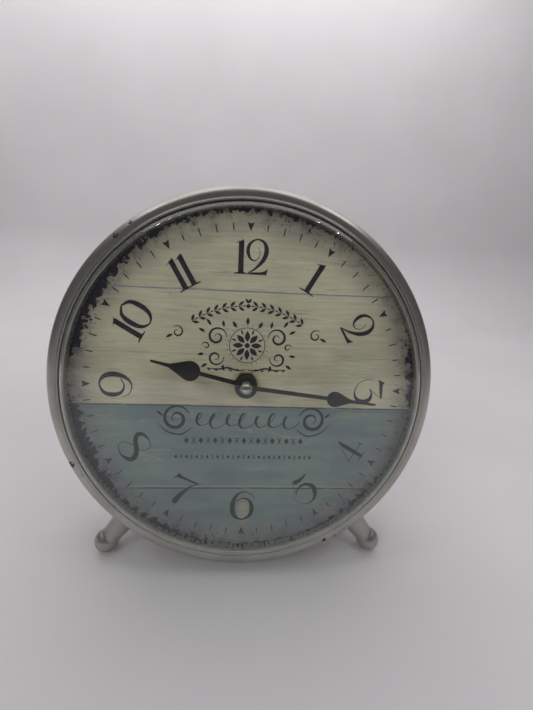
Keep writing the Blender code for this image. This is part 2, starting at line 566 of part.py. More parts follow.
def make_train(looks):
    """Rotor, intermediate, second, third and centre wheels, each meshing with the next."""
    white = looks["white_plastic"]
    pivot_back = COVER_BACK - 0.2 * MM
    bridge_pivot = BRIDGE_LAYER + 0.2 * MM

    centre = gear("centre_wheel", gear_outline(CENTRE_MODULE, CENTRE_WHEEL_TEETH, THIRD_DIRECTION), CENTRE_LAYER,
                  looks["brass"], SPINDLE)
    drill(centre, MINUTE_ARBOR_RADIUS + 0.1 * MM, CENTRE_LAYER, CENTRE_LAYER + LAYER, segments=SMALL_SEGMENTS)

    back = THIRD_DIRECTION + 180
    third = gear("third_wheel", gear_outline(THIRD_MODULE, THIRD_WHEEL_TEETH, back), THIRD_LAYER, white, THIRD_AXIS)
    combine(third, prism("pinion", facing(CENTRE_MODULE, PINION_TEETH, back, 0.3), CENTRE_LAYER,
                         THIRD_LAYER + PINION_OVERLAP, white, THIRD_AXIS))
    combine(third, cylinder("arbor", ARBOR_RADIUS, bridge_pivot, pivot_back, white, THIRD_AXIS, TINY_SEGMENTS))

    second = gear("second_wheel", gear_outline(SECOND_MODULE, SECOND_WHEEL_TEETH, INTERMEDIATE_DIRECTION),
                  SECOND_LAYER, white, SPINDLE)
    combine(second, prism("pinion", facing(THIRD_MODULE, PINION_TEETH, THIRD_DIRECTION, 0.3), THIRD_LAYER,
                          SECOND_LAYER + PINION_OVERLAP, white))
    combine(second, cylinder("arbor", ARBOR_RADIUS, CENTRE_LAYER, pivot_back, white, segments=TINY_SEGMENTS))

    back = INTERMEDIATE_DIRECTION + 180
    intermediate = gear("intermediate_wheel", gear_outline(INTERMEDIATE_MODULE, INTERMEDIATE_WHEEL_TEETH,
                                                           ROTOR_DIRECTION), INTERMEDIATE_LAYER, white,
                        INTERMEDIATE_AXIS)
    combine(intermediate, prism("pinion", facing(SECOND_MODULE, PINION_TEETH, back, 0.3), SECOND_LAYER,
                                INTERMEDIATE_LAYER + PINION_OVERLAP, white, INTERMEDIATE_AXIS))
    combine(intermediate, cylinder("arbor", ARBOR_RADIUS, bridge_pivot, pivot_back, white, INTERMEDIATE_AXIS,
                                   TINY_SEGMENTS))

    rotor = cylinder("rotor", MAGNET_RADIUS, MAGNET_LAYER, MAGNET_LAYER + MAGNET_THICKNESS, white, ROTOR_AXIS)
    combine(rotor, prism("pinion", facing(INTERMEDIATE_MODULE, PINION_TEETH, ROTOR_DIRECTION + 180, 0.3),
                         INTERMEDIATE_LAYER, MAGNET_LAYER + PINION_OVERLAP, white, ROTOR_AXIS))
    combine(rotor, cylinder("arbor", ARBOR_RADIUS, bridge_pivot, pivot_back, white, ROTOR_AXIS, TINY_SEGMENTS))
    return [centre, third, second, intermediate, rotor]


def make_motor(looks):
    """The stator plate around the rotor, its coil, and the circuit board with its crystal."""
    steel = looks["zinc_steel"]
    front = MOTOR_MIDDLE - STATOR_THICKNESS / 2
    x, z = ROTOR_AXIS
    wide = COIL_LENGTH / 2 + GAP
    tab = 2.6 * MM
    low = z - MAGNET_RADIUS - 1.6 * MM
    mid = z + MAGNET_RADIUS + 0.4 * MM
    top = COIL_HEIGHT + COIL_RADIUS * 0.6
    outline = [(x - wide - tab, low), (x + wide + tab, low), (x + wide + tab, top), (x + wide, top),
               (x + wide, mid), (x - wide, mid), (x - wide, top), (x - wide - tab, top)]
    stator = prism("motor_stator", outline, front, front + STATOR_THICKNESS, steel)
    drill(stator, MAGNET_RADIUS + GAP, front, front + STATOR_THICKNESS, ROTOR_AXIS, SMALL_SEGMENTS)

    coil = cylinder("motor_coil", COIL_RADIUS, -COIL_LENGTH / 2, COIL_LENGTH / 2, looks["copper_wire"],
                    segments=SMALL_SEGMENTS)
    coil.rotation_euler = (0.0, 0.0, radians(90.0))
    coil.location = (x, MOTOR_MIDDLE, COIL_HEIGHT)

    board_front = COVER_FRONT - 0.4 * MM - BOARD_THICKNESS
    left, right = MINUTE_AXIS[0] + 2.8 * MM, CAVITY_HALF - 0.8 * MM
    bottom = BAY_TOP + BAY_WALL + 2.1 * MM
    board = prism("circuit_board", rounded_rectangle(left, right, bottom, bottom + 26.0 * MM, 1.0 * MM, 2),
                  board_front, board_front + BOARD_THICKNESS, looks["circuit_green"])
    crystal = cylinder("quartz_crystal", 1.0 * MM, 0.0, 6.0 * MM, steel, segments=TINY_SEGMENTS)
    crystal.rotation_euler = (radians(90.0), 0.0, 0.0)
    crystal.location = ((left + right) / 2, board_front - 1.3 * MM, bottom + 9.0 * MM)
    return [stator, coil, board, crystal]


def make_battery(looks):
    """A battery lying across the bottom of the movement between two spring contacts."""
    centre_y = CAVITY_FRONT + GAP + BATTERY_RADIUS
    centre_z = (BAY_TOP + BAY_BOTTOM) / 2
    nub, nub_radius, rim = 1.0 * MM, 2.7 * MM, 0.6 * MM
    end, start = BATTERY_LENGTH / 2 - nub, -BATTERY_LENGTH / 2
    outline = [(0.0, start), (BATTERY_RADIUS - rim, start), (BATTERY_RADIUS, start + rim),
               (BATTERY_RADIUS, end - rim), (BATTERY_RADIUS - rim, end), (nub_radius, end), (nub_radius, end + nub),
               (0.0, end + nub)]
    battery = turned("battery", outline, looks["battery_wrap"], segments=24)
    battery.rotation_euler = (0.0, 0.0, radians(-90.0))
    battery.location = (0.0, centre_y, centre_z)

    leaf, wide, depth = 0.4 * MM, 3.5 * MM, 5.0 * MM
    contacts = []
    for name, side, reach in (("contact_positive", 1, 0.3 * MM), ("contact_negative", -1, 0.9 * MM)):
        outer = CAVITY_HALF - GAP
        bend = [(outer, -depth), (outer - reach, 0.0), (outer, depth), (outer - leaf, depth),
                (outer - leaf - reach, 0.0), (outer - leaf, -depth)]
        contact = prism(name, [(side * x, y) for x, y in bend], -wide, wide, looks["zinc_steel"])
        contact.rotation_euler = (radians(-90.0), 0.0, 0.0)
        contact.location = (0.0, centre_y, centre_z)
        contacts.append(contact)
    return [battery] + contacts


def cover_screw_places():
    """Screw places as (x, z) from the spindle, on a circle around the middle of the case."""
    radius, spacing = CASE_RADIUS - SCREW_INSET, 360 / COVER_SCREWS
    return [polar(radius, 45 + spacing * turn, DIAL_CENTRE) for turn in range(COVER_SCREWS)]


def make_back(looks):
    silver, steel = looks["satin_silver"], looks["zinc_steel"]
    front = CASE_BACK + GAP
    raised = front + COVER_STEP
    edge, step = CASE_RADIUS - COVER_INSET, CASE_RADIUS - COVER_RIM
    slope = step - 2.0 * MM
    outline = [(0.0, raised), (slope, raised), (step, front), (edge, front), (edge, front + COVER_THICKNESS),
               (step + 0.4 * MM, front + COVER_THICKNESS),
               (slope + 0.4 * MM, raised + COVER_THICKNESS), (0.0, raised + COVER_THICKNESS)]
    cover = turned("back_cover", outline, silver, DIAL_CENTRE, CASE_SEGMENTS)
    across = MOVEMENT_HALF + WINDOW_SIDE
    window = rounded_rectangle(-across, across, MOVEMENT_BOTTOM - WINDOW_END, MOVEMENT_TOP + WINDOW_END, 4.0 * MM)
    combine(cover, prism("window", window, front - 2 * MM, raised + 4 * MM, silver), "DIFFERENCE")
    screws = []
    head_front = front + COVER_THICKNESS + GAP
    for number, (x, z) in enumerate(cover_screw_places(), 1):
        drill(cover, SCREW_RADIUS + GAP, front, front + COVER_THICKNESS, (x, z))
        screw = [(0.0, head_front - SCREW_LENGTH), (SCREW_RADIUS, head_front - SCREW_LENGTH),
                 (SCREW_RADIUS, head_front), (SCREW_HEAD_RADIUS, head_front),
                 (SCREW_HEAD_RADIUS, head_front + SCREW_HEAD_HEIGHT * 0.4),
                 (SCREW_HEAD_RADIUS * 0.7, head_front + SCREW_HEAD_HEIGHT * 0.88),
                 (0.0, head_front + SCREW_HEAD_HEIGHT)]
        screws.append(turned(f"cover_screw_{number}", screw, steel, (x, z), TINY_SEGMENTS))
    return [cover] + screws


def aim_radially(piece, angle, depth):
    """Points the piece's Y axis out of the case, that angle from straight down and that far back."""
    piece.rotation_euler = (radians(-90.0), angle, 0.0)
    piece.location = (0.0, depth, -SPINDLE_RISE)


def ground_height():
    """The ground's height along the leaning clock's own up direction, from the spindle's height."""
    ball = Vector((0.0, FOOT_DEPTH, -SPINDLE_RISE - FOOT_REACH * cos(FOOT_ANGLE)))
    return ball.dot(up_direction()) - BALL_RADIUS + FOOT_FLAT


def up_direction():
    return Vector((0.0, -sin(LEAN), cos(LEAN)))


def grind_flat(foot):
    """Cuts the foot off level with the ground on which the leaning clock stands."""
    size = 60.0 * MM
    block = prism("block", rounded_rectangle(-4 * size, 4 * size, -size, 0.0, 1.0 * MM, 1), -4 * size, 4 * size,
                  foot.data.materials[0])
    block.rotation_euler = (LEAN, 0.0, 0.0)
    block.location = up_direction() * ground_height()
    return combine(foot, block, "DIFFERENCE")


def make_feet(looks):
    silver, steel = looks["satin_silver"], looks["zinc_steel"]
    base = CASE_RADIUS + GAP
    wall = CASE_RADIUS - CASE_WALL
    neck = FOOT_REACH - sqrt(BALL_RADIUS ** 2 - FOOT_NECK_RADIUS ** 2)
    stud_end = wall - NUT_HEIGHT - 2.0 * MM
    flare = [(FOOT_NECK_RADIUS + (FOOT_BASE_RADIUS - FOOT_NECK_RADIUS) * (1 - share) ** 1.6,
              base + 1.0 * MM + (neck - base - 1.0 * MM) * share) for share in (0.0, 0.2, 0.4, 0.65, 0.9)]
    outline = [(0.0, stud_end), (STUD_RADIUS, stud_end), (STUD_RADIUS, base), (FOOT_BASE_RADIUS, base)]
    outline += flare
    ball_start = degrees(acos(FOOT_NECK_RADIUS / BALL_RADIUS))
    outline += ellipse_arc(0.0, FOOT_REACH, BALL_RADIUS, BALL_RADIUS, ball_start, -90, 9)[:-1]
    outline += [(0.0, FOOT_REACH + BALL_RADIUS)]
    feet = []
    for side, angle in (("left", FOOT_ANGLE), ("right", -FOOT_ANGLE)):
        foot = turned(f"foot_{side}", outline, silver)
        aim_radially(foot, angle, FOOT_DEPTH)
        feet.append(grind_flat(foot))
        nut = prism(f"foot_nut_{side}", hexagon(NUT_WIDTH), wall - GAP - NUT_HEIGHT, wall - GAP, steel)
        drill(nut, STUD_RADIUS + GAP, wall - GAP - NUT_HEIGHT, wall - GAP)
        aim_radially(nut, angle, FOOT_DEPTH)
        feet.append(nut)

    grip = wall - 0.4 * MM
    tip, barb = grip - 2.4 * MM, STUD_RADIUS * 1.6
    end = base + BUMPER_LENGTH
    bumper_outline = [(0.0, tip), (STUD_RADIUS * 0.7, tip), (barb, grip - 0.6 * MM), (barb, grip),
                      (STUD_RADIUS, grip), (STUD_RADIUS, base), (BUMPER_RADIUS, base), (BUMPER_RADIUS * 0.86, end),
                      (0.0, end)]
    bumper = turned("rear_bumper", bumper_outline, looks["black_rubber"])
    aim_radially(bumper, 0.0, BUMPER_DEPTH)
    feet.append(grind_flat(bumper))
    return feet


def stand_on_ground(pieces):
    """Hangs every piece on one empty, leans it back and centres the clock over the origin."""
    frame = bpy.data.objects.new("clock_frame", None)
    bpy.context.scene.collection.objects.link(frame)
    for piece in pieces:
        piece.parent = frame
    frame.rotation_euler = (-LEAN, 0.0, 0.0)
    frame.location = (0.0, 0.0, -ground_height())
    bpy.context.view_layer.update()
    depths = [(piece.matrix_world @ vert.co).y for piece in pieces for vert in piece.data.vertices]
    frame.location.y = -(min(depths) + max(depths)) / 2
    bpy.context.view_layer.update()
    return frame


def main():
    for item in list(bpy.data.objects):
        bpy.data.objects.remove(item)
    looks = new_materials()
    pieces = make_case(looks) + make_glass(looks) + make_dial(looks) + make_hands(looks)
    pieces += make_movement_case(looks) + make_motion_work(looks) + make_train(looks) + make_motor(looks)
    pieces += make_battery(looks) + make_back(looks) + make_feet(looks)
    stand_on_ground(pieces)


main()
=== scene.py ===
"""Looks of the table clock: smooth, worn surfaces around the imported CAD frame.

Sizes are in millimetres in the clock's own frame: +X to the right of the dial, +Y into the case, +Z up,
with the spindle's axis and the dial's surface at the origin. Each finished mesh is moved to the clock's
place in the world, as the CAD nodes are, and shaders turn world places back into places on the clock.
"""

import json
import random
from math import acos, atan2, cos, degrees, hypot, pi, radians, sin, sqrt, tau

import bmesh
import bpy
from mathutils import Matrix, Vector


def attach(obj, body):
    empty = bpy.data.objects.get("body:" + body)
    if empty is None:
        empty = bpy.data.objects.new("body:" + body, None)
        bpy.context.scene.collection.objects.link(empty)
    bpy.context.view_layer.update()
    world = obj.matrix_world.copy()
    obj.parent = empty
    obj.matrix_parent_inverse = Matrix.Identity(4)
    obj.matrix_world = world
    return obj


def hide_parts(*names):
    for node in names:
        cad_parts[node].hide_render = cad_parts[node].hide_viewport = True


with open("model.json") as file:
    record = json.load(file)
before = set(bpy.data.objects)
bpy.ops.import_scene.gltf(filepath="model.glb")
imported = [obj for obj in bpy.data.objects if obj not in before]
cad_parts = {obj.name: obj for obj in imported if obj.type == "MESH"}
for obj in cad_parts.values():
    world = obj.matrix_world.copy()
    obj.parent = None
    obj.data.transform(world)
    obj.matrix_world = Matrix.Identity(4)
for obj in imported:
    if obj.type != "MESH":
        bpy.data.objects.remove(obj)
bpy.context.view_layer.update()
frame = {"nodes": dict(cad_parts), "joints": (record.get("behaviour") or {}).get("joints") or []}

MM = 0.001
SEGMENTS = 192
SMALL_SEGMENTS = 64
SHARP_ANGLE, BEVEL_ANGLE = radians(35.0), radians(40.0)


def clock_place():
    """The clock's own frame in the world, from the spindle that the minute hand turns on."""
    joint = next(j for j in frame["joints"] if j["name"] == "minute_hand_turn")
    back = Vector(joint["axis"]).normalized()
    right = Vector((1.0, 0.0, 0.0))
    turn = Matrix((right, back, right.cross(back))).transposed().to_4x4()
    return Matrix.Translation(Vector(joint["pos_m"])) @ turn


CLOCK = clock_place()

# The clock's sizes, as the CAD model has them
DIAL_CENTRE = (0.0, -2.3)
CASE_RADIUS, CASE_WALL = 80.0, 0.9
CASE_FRONT, CASE_BACK = 3.4, 46.0
FRONT_RING_RADIUS, REAR_RING_RADIUS = 70.0, 72.0
SIGHT_RADIUS = 73.9
SEAT_RADIUS, SEAT_HEIGHT = 76.8, 3.0
CREST_RADIUS, CREST_HEIGHT, CREST_BEAD = 77.7, 4.6, 0.5
ROLL_RADIUS, ROLL_DEPTH = 79.6, 1.0
ROLL_HALF_R, ROLL_HALF_Y = 4.34, 4.5
SHOULDER_RADIUS, SHOULDER_HEIGHT = 72.2, 8.5
GLASS_HEIGHT, GLASS_THICKNESS = 19.59, 1.8
GLASS_EDGE, GLASS_FOOT = 76.3, 4.2
GASKET_FRONT, GASKET_BACK = 3.9, 3.3
DIAL_RADIUS = 79.3
PAPER_THICKNESS = 0.3
BUSHING_RADIUS = 4.0
HAND_THICKNESS = 0.5
HOUR_ANGLE, HOUR_HEIGHT = radians(-76.4), 7.0
MINUTE_ANGLE, MINUTE_HEIGHT = radians(96.4), 10.0
CAP_RADIUS, CAP_HEIGHT = 2.6, 15.2
COVER_FRONT, COVER_RADIUS = 46.3, 78.5
COVER_THICKNESS, COVER_STEP, COVER_STEP_RADIUS = 0.9, 1.5, 68.0
WINDOW_WIDTH, WINDOW_HEIGHT = 59.0, 64.0
SCREW_CIRCLE, SCREW_HEAD_RADIUS, SCREW_HEAD_HEIGHT = 75.0, 2.8, 1.6
FOOT_ANGLE, FOOT_DEPTH, FOOT_REACH = radians(38.9), 13.0, 105.0
BALL_RADIUS, FOOT_BASE_RADIUS, FOOT_NECK_RADIUS = 5.6, 7.2, 4.6
BUMPER_DEPTH, BUMPER_RADIUS, BUMPER_LENGTH = 40.0, 5.0, 12.0
MOVEMENT_HALF, MOVEMENT_BACK, MOVEMENT_COVER = 28.0, 17.7, 1.2
BAY_TOP = -12.1
KNOB_RADIUS, KNOB_FRONT, KNOB_HEIGHT = 6.0, 19.5, 3.6
KNOB_AXIS = (9.19, 7.71)
BATTERY_RADIUS, BATTERY_LENGTH = 7.0, 50.2
BATTERY_PLACE = (13.2, -19.45)


# ---- Mesh work -------------------------------------------------------------------------------------

def on_circle(radius, degrees, centre=(0.0, 0.0)):
    angle = radians(degrees)
    return (centre[0] + radius * cos(angle), centre[1] + radius * sin(angle))


def arc(centre, half_r, half_y, start, end, steps=12):
    """Points along part of an ellipse in (radius, depth); 90 degrees points to the front."""
    angles = [radians(start + (end - start) * step / steps) for step in range(steps + 1)]
    return [(centre[0] + half_r * cos(a), centre[1] - half_y * sin(a)) for a in angles]


def rounded(corners, closed=True, steps=5):
    """An outline from (x, y, size) corners, each rounded over that size along its two sides."""
    points = []
    for index, (x, y, size) in enumerate(corners):
        at_end = not closed and index in (0, len(corners) - 1)
        if size == 0 or at_end:
            points.append((x, y))
            continue
        here = Vector((x, y))
        before = Vector(corners[index - 1][:2]) - here
        after = Vector(corners[(index + 1) % len(corners)][:2]) - here
        start = here + before.normalized() * min(size, 0.5 * before.length)
        end = here + after.normalized() * min(size, 0.5 * after.length)
        for step in range(steps + 1):
            t = step / steps
            points.append(tuple(start * (1 - t) ** 2 + here * 2 * t * (1 - t) + end * t ** 2))
    return points


def lathe(outline, centre=(0.0, 0.0), segments=SMALL_SEGMENTS):
    """A mesh turned around the Y axis from (radius, depth) points; ends on the axis close it there."""
    made = bmesh.new()
    rings = []
    for radius, depth in outline:
        count = segments if radius > 0 else 1
        rings.append([made.verts.new((centre[0] + radius * cos(tau * n / count), depth,
                                      centre[1] + radius * sin(tau * n / count))) for n in range(count)])
    pairs = list(zip(rings, rings[1:]))
    if len(rings[0]) > 1 and len(rings[-1]) > 1:
        pairs.append((rings[-1], rings[0]))
    for first, second in pairs:
        for n in range(segments):
            corners = [first[n % len(first)], first[(n + 1) % len(first)],
                       second[(n + 1) % len(second)], second[n % len(second)]]
            corners = list(dict.fromkeys(corners))
            if len(corners) > 2:
                made.faces.new(corners)
    return made


def plate(outline, front, back):
    """A mesh of an (x, z) outline drawn straight back from front to back."""
    made = bmesh.new()
    front_verts = [made.verts.new((x, front, z)) for x, z in outline]
    back_verts = [made.verts.new((x, back, z)) for x, z in outline]
    made.faces.new(front_verts)
    made.faces.new(back_verts[::-1])
    for n in range(len(outline)):
        m = (n + 1) % len(outline)
        made.faces.new((front_verts[m], front_verts[n], back_verts[n], back_verts[m]))
    return made


def aimed(made, angle, depth):
    """Turns a mesh's Y axis to point out of the case, that angle from straight down."""
    turn = Matrix.Rotation(angle, 4, "Y") @ Matrix.Rotation(radians(-90.0), 4, "X")
    made.transform(Matrix.Translation((DIAL_CENTRE[0], depth, DIAL_CENTRE[1])) @ turn)
    return made


def shape(name, made, material):
    """An object in the world from a mesh in the clock's frame."""
    bmesh.ops.recalc_face_normals(made, faces=made.faces)
    mesh = bpy.data.meshes.new(name)
    made.to_mesh(mesh)
    made.free()
    mesh.transform(CLOCK @ Matrix.Scale(MM, 4))
    mesh.materials.append(material)
    item = bpy.data.objects.new(name, mesh)
    bpy.context.scene.collection.objects.link(item)
    smooth(item)
    return item


def smooth(item):
    item.data.shade_smooth()
    item.data.set_sharp_from_angle(angle=SHARP_ANGLE)


def change(item, kind, **settings):
    """Applies one modifier to the mesh."""
    modifier = item.modifiers.new(kind, kind)
    for name, value in settings.items():
        setattr(modifier, name, value)
    bpy.context.view_layer.update()
    result = bpy.data.meshes.new_from_object(item.evaluated_get(bpy.context.evaluated_depsgraph_get()))
    item.modifiers.clear()
    item.data = result
    smooth(item)
    return item


def cut(item, made, operation="DIFFERENCE"):
    """Cuts a mesh away from the object, or joins it on."""
    tool = shape("tool", made, item.data.materials[0])
    change(item, "BOOLEAN", operation=operation, solver="EXACT", object=tool)
    bpy.data.objects.remove(tool)
    return item


def soften(item, width):
    return change(item, "BEVEL", width=width * MM, segments=2, limit_method="ANGLE", angle_limit=BEVEL_ANGLE,
                  harden_normals=False)


def cylinder(radius, front, back, centre=(0.0, 0.0), segments=SMALL_SEGMENTS):
    return lathe([(0.0, front), (radius, front), (radius, back), (0.0, back)], centre, segments)


def rectangle(left, right, bottom, top, corner, steps=8):
    corners = ((left, bottom), (right, bottom), (right, top), (left, top))
    return rounded([(x, z, corner) for x, z in corners], steps=steps)


def add(item, body, slot, *nodes):
    """Hangs a piece on its body and hides those CAD nodes, whose place it takes."""
    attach(item, body)
    if nodes:
        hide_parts(*nodes)
    return item


# ---- Pen strokes -----------------------------------------------------------------------------------

def through(points, steps=6):
    """A smooth path through (x, z, half width) points."""
    ends = [points[0]] + list(points) + [points[-1]]
    path = []
    for a, b, c, d in zip(ends, ends[1:], ends[2:], ends[3:]):
        for step in range(steps):
            t = step / steps
            path.append([0.5 * (2 * q + (r - p) * t + (2 * p - 5 * q + 4 * r - s) * t ** 2
                                + (3 * q - p - 3 * r + s) * t ** 3) for p, q, r, s in zip(a, b, c, d)])
    return path + [list(points[-1])]


class Ink:
    """Pen strokes printed on the dial: thin closed ribbons that stand on the paper."""

    FRONT, BACK = -0.03, 0.05

    def __init__(self):
        self.mesh = bmesh.new()
        self.place = Matrix.Identity(3)

    def at(self, x, z, degrees=0.0):
        """What is drawn next is turned clockwise by that angle and moved there."""
        angle = radians(degrees)
        self.place = Matrix(((cos(angle), sin(angle), x), (-sin(angle), cos(angle), z), (0.0, 0.0, 1.0)))
        return self

    def corner(self, x, z, depth):
        placed = self.place @ Vector((x, z, 1.0))
        return self.mesh.verts.new((placed.x + DIAL_CENTRE[0], depth, placed.y + DIAL_CENTRE[1]))

    def stroke(self, points, steps=6):
        path = through(points, steps)
        rings = []
        for n, (x, z, half) in enumerate(path):
            before, after = path[max(n - 1, 0)], path[min(n + 1, len(path) - 1)]
            along = Vector((after[0] - before[0], after[1] - before[1]))
            if along.length < 1e-6:
                continue
            side = Vector((-along.y, along.x)).normalized() * max(half, 0.03)
            rings.append([self.corner(x + side.x, z + side.y, self.FRONT),
                          self.corner(x - side.x, z - side.y, self.FRONT),
                          self.corner(x - side.x, z - side.y, self.BACK),
                          self.corner(x + side.x, z + side.y, self.BACK)])
        for first, second in zip(rings, rings[1:]):
            for n in range(4):
                m = (n + 1) % 4
                self.mesh.faces.new((first[n], first[m], second[m], second[n]))
        self.mesh.faces.new(rings[0])
        self.mesh.faces.new(rings[-1][::-1])
        return self

    def area(self, outline):
        front = [self.corner(x, z, self.FRONT) for x, z in outline]
        back = [self.corner(x, z, self.BACK) for x, z in outline]
        self.mesh.faces.new(front)
        self.mesh.faces.new(back[::-1])
        for n in range(len(outline)):
            m = (n + 1) % len(outline)
            self.mesh.faces.new((front[m], front[n], back[n], back[m]))
        return self

    def dot(self, x, z, radius):
        return self.area([on_circle(radius, 30.0 * n, (x, z)) for n in range(12)])

    def leaf(self, x, z, degrees, length, half):
        """A pointed leaf that grows from (x, z); 0 degrees points up, and more turns clockwise."""
        across, along = sin(radians(degrees)), cos(radians(degrees))
        self.stroke([(x + across * length * t, z + along * length * t, half * w)
                     for t, w in ((0.0, 0.1), (0.3, 0.85), (0.6, 0.9), (1.0, 0.05))], 3)
        return self

    def spiral(self, x, z, start_radius, end_radius, start, turns, half, hand=1):
        steps = int(10 * abs(turns)) + 2
        points = []
        for n in range(steps + 1):
            t = n / steps
            radius = start_radius + (end_radius - start_radius) * t
            px, pz = on_circle(radius, start + hand * 360.0 * turns * t, (x, z))
            points.append((px, pz, half * (0.35 + 0.9 * sin(pi * min(1.0, t * 1.15)))))
        return self.stroke(points, 3)


# ---- Materials -------------------------------------------------------------------------------------

class Look:
    """One procedural material around a Principled shader. Its places are in millimetres."""

    def __init__(self, name, roughness, metallic=0.0, **constants):
        self.material = bpy.data.materials.new(name)
        self.material.use_nodes = True
        self.tree = self.material.node_tree
        self.shader = self.tree.nodes["Principled BSDF"]
        self.shader.inputs["Roughness"].default_value = roughness
        self.shader.inputs["Metallic"].default_value = metallic
        for socket, value in constants.items():
            self.shader.inputs[socket.replace("_", " ")].default_value = value
        to_clock = CLOCK.inverted()
        in_world = self.node("TexCoord").outputs["Object"]
        mapping = {"Vector": in_world, "Location": to_clock.translation / MM, "Rotation": to_clock.to_euler(),
                   "Scale": (1 / MM,) * 3}
        self.place = self.node("Mapping", mapping).outputs[0]

    def node(self, kind, inputs=None, **settings):
        made = self.tree.nodes.new("ShaderNode" + kind)
        for name, value in settings.items():
            setattr(made, name, value)
        for socket, value in (inputs or {}).items():
            self.feed(made.inputs[socket], value)
        return made

    def feed(self, socket, value):
        if isinstance(value, bpy.types.NodeSocket):
            self.tree.links.new(value, socket)
        elif isinstance(value, tuple) and len(value) == 3 and socket.type == "RGBA":
            socket.default_value = (*value, 1.0)
        else:
            socket.default_value = value

    def math(self, operation, *values):
        return self.node("Math", dict(enumerate(values)), operation=operation).outputs[0]

    def axes(self):
        return self.node("SeparateXYZ", {0: self.place}).outputs

    def noise(self, scale, detail=3.0, stretch=(1.0, 1.0, 1.0), seed=0.0, rough=0.55):
        moved = self.node("Mapping", {"Vector": self.place, "Location": (seed, seed, seed), "Scale": stretch})
        return self.node("TexNoise", {"Vector": moved.outputs[0], "Scale": scale, "Detail": detail,
                                      "Roughness": rough}).outputs[0]

    def ramp(self, value, low, high, start=0.0, end=1.0):
        return self.node("MapRange", {"Value": value, "From Min": low, "From Max": high, "To Min": start,
                                      "To Max": end}, interpolation_type="SMOOTHSTEP").outputs[0]

    def mix(self, factor, first, second):
        return self.node("Mix", {0: factor, 6: first, 7: second}, data_type="RGBA").outputs[2]

    def times(self, first, second):
        return self.math("MULTIPLY", first, second)

    def edges(self):
        """1 on edges that stand out."""
        return self.ramp(self.node("NewGeometry").outputs["Pointiness"], 0.52, 0.60)

    def near(self, spot, radius, ragged):
        """1 within that distance of a place on the clock, with a ragged rim."""
        away = self.node("VectorMath", {0: self.place, 1: spot}, operation="DISTANCE").outputs["Value"]
        away = self.math("ADD", away, self.times(ragged, radius))
        return self.ramp(away, radius, radius * 1.25, 1.0, 0.0)

    def set(self, colour, roughness=None, bump=None, depth=0.02):
        self.feed(self.shader.inputs["Base Color"], colour)
        if roughness is not None:
            self.feed(self.shader.inputs["Roughness"], roughness)
        if bump is not None:
            made = self.node("Bump", {"Height": bump, "Strength": 1.0, "Distance": depth * MM})
            self.feed(self.shader.inputs["Normal"], made.outputs[0])


def aged(name, colour, roughness, metallic=0.0, shade=0.75, tint=None, patch=0.06, grain=2.5, depth=0.01,
         stretch=(1.0, 1.0, 1.0), worn=None, spots=(), **constants):
    """Paint, plastic or metal that has been handled: soft patches of another shade, fine grain that also
    varies the gloss, and, in the worn colour, rubbed edges and chips at the given spots."""
    look = Look(name, roughness, metallic, **constants)
    patches = look.ramp(look.noise(patch, 4.0, stretch), 0.35, 0.68)
    fine = look.noise(grain, 3.0, stretch, seed=7.0)
    second = tint or tuple(channel * shade for channel in colour)
    tone = look.mix(patches, colour, second)
    tone = look.mix(look.ramp(fine, 0.3, 0.75, 0.0, 0.22), tone, tuple(channel * 0.55 for channel in colour))
    gloss = look.math("MULTIPLY_ADD", fine, 0.22, roughness - 0.11)
    gloss = look.math("MULTIPLY_ADD", patches, 0.08, gloss)
    height = fine
    if worn:
        ragged = look.noise(0.9, 4.0, seed=3.0)
        rubbed = look.times(look.edges(), look.ramp(ragged, 0.5, 0.62))
        for spot, radius in spots:
            chip = look.times(look.near(spot, radius, ragged), look.ramp(ragged, 0.42, 0.47))
            rubbed = look.math("MAXIMUM", rubbed, chip)
        tone = look.mix(rubbed, tone, worn)
        gloss = look.math("ADD", gloss, look.times(rubbed, 0.2))
        height = look.math("SUBTRACT", height, look.times(rubbed, 2.0))
    look.set(tone, gloss, height, depth)
    return look.material


def glass_material():
    """Clear glass that lets lamps through to the dial, with faint dust and wiping marks in its gloss."""
    look = Look("clear_glass", 0.02, 0.0, Transmission_Weight=1.0, IOR=1.47)
    dust = look.ramp(look.noise(0.35, 5.0, (1.0, 1.0, 2.5)), 0.45, 0.75, 0.012, 0.075)
    look.set((0.93, 0.95, 0.94), dust)
    output = look.tree.nodes["Material Output"]
    lamp_ray = look.node("LightPath").outputs["Is Shadow Ray"]
    through_glass = look.node("BsdfTransparent", {"Color": (0.9, 0.92, 0.91)}).outputs[0]
    mixed = look.node("MixShader", {0: lamp_ray, 1: look.shader.outputs[0], 2: through_glass})
    look.feed(output.inputs["Surface"], mixed.outputs[0])
    return look.material


# Heights of the lines between the printed boards, and of a fine crack
TOP_JOINT, MIDDLE_JOINT, LOW_JOINT, HAIRLINE = 41.3, -8.7, -46.9, 14.2
CREAM, CREAM_DARK = (0.74, 0.675, 0.49), (0.62, 0.565, 0.42)
BLUE, BLUE_DARK = (0.225, 0.305, 0.29), (0.19, 0.245, 0.27)
# How heavily the dial's rim is blotched at each hour
RIM_WEAR = ((0.0, 0.62), (0.7, 0.72), (1.1, 0.5), (1.5, 0.25), (2.2, 0.45), (2.5, 0.72), (3.05, 0.75),
            (3.4, 0.3), (4.0, 0.45), (4.35, 0.7), (5.2, 0.45), (5.8, 0.5), (6.4, 0.6), (7.0, 0.75),
            (7.5, 0.6), (8.1, 0.95), (8.7, 0.95), (9.1, 0.3), (9.45, 0.9), (10.2, 1.0), (10.6, 0.75),
            (11.0, 0.72), (11.35, 0.7), (12.0, 0.62))


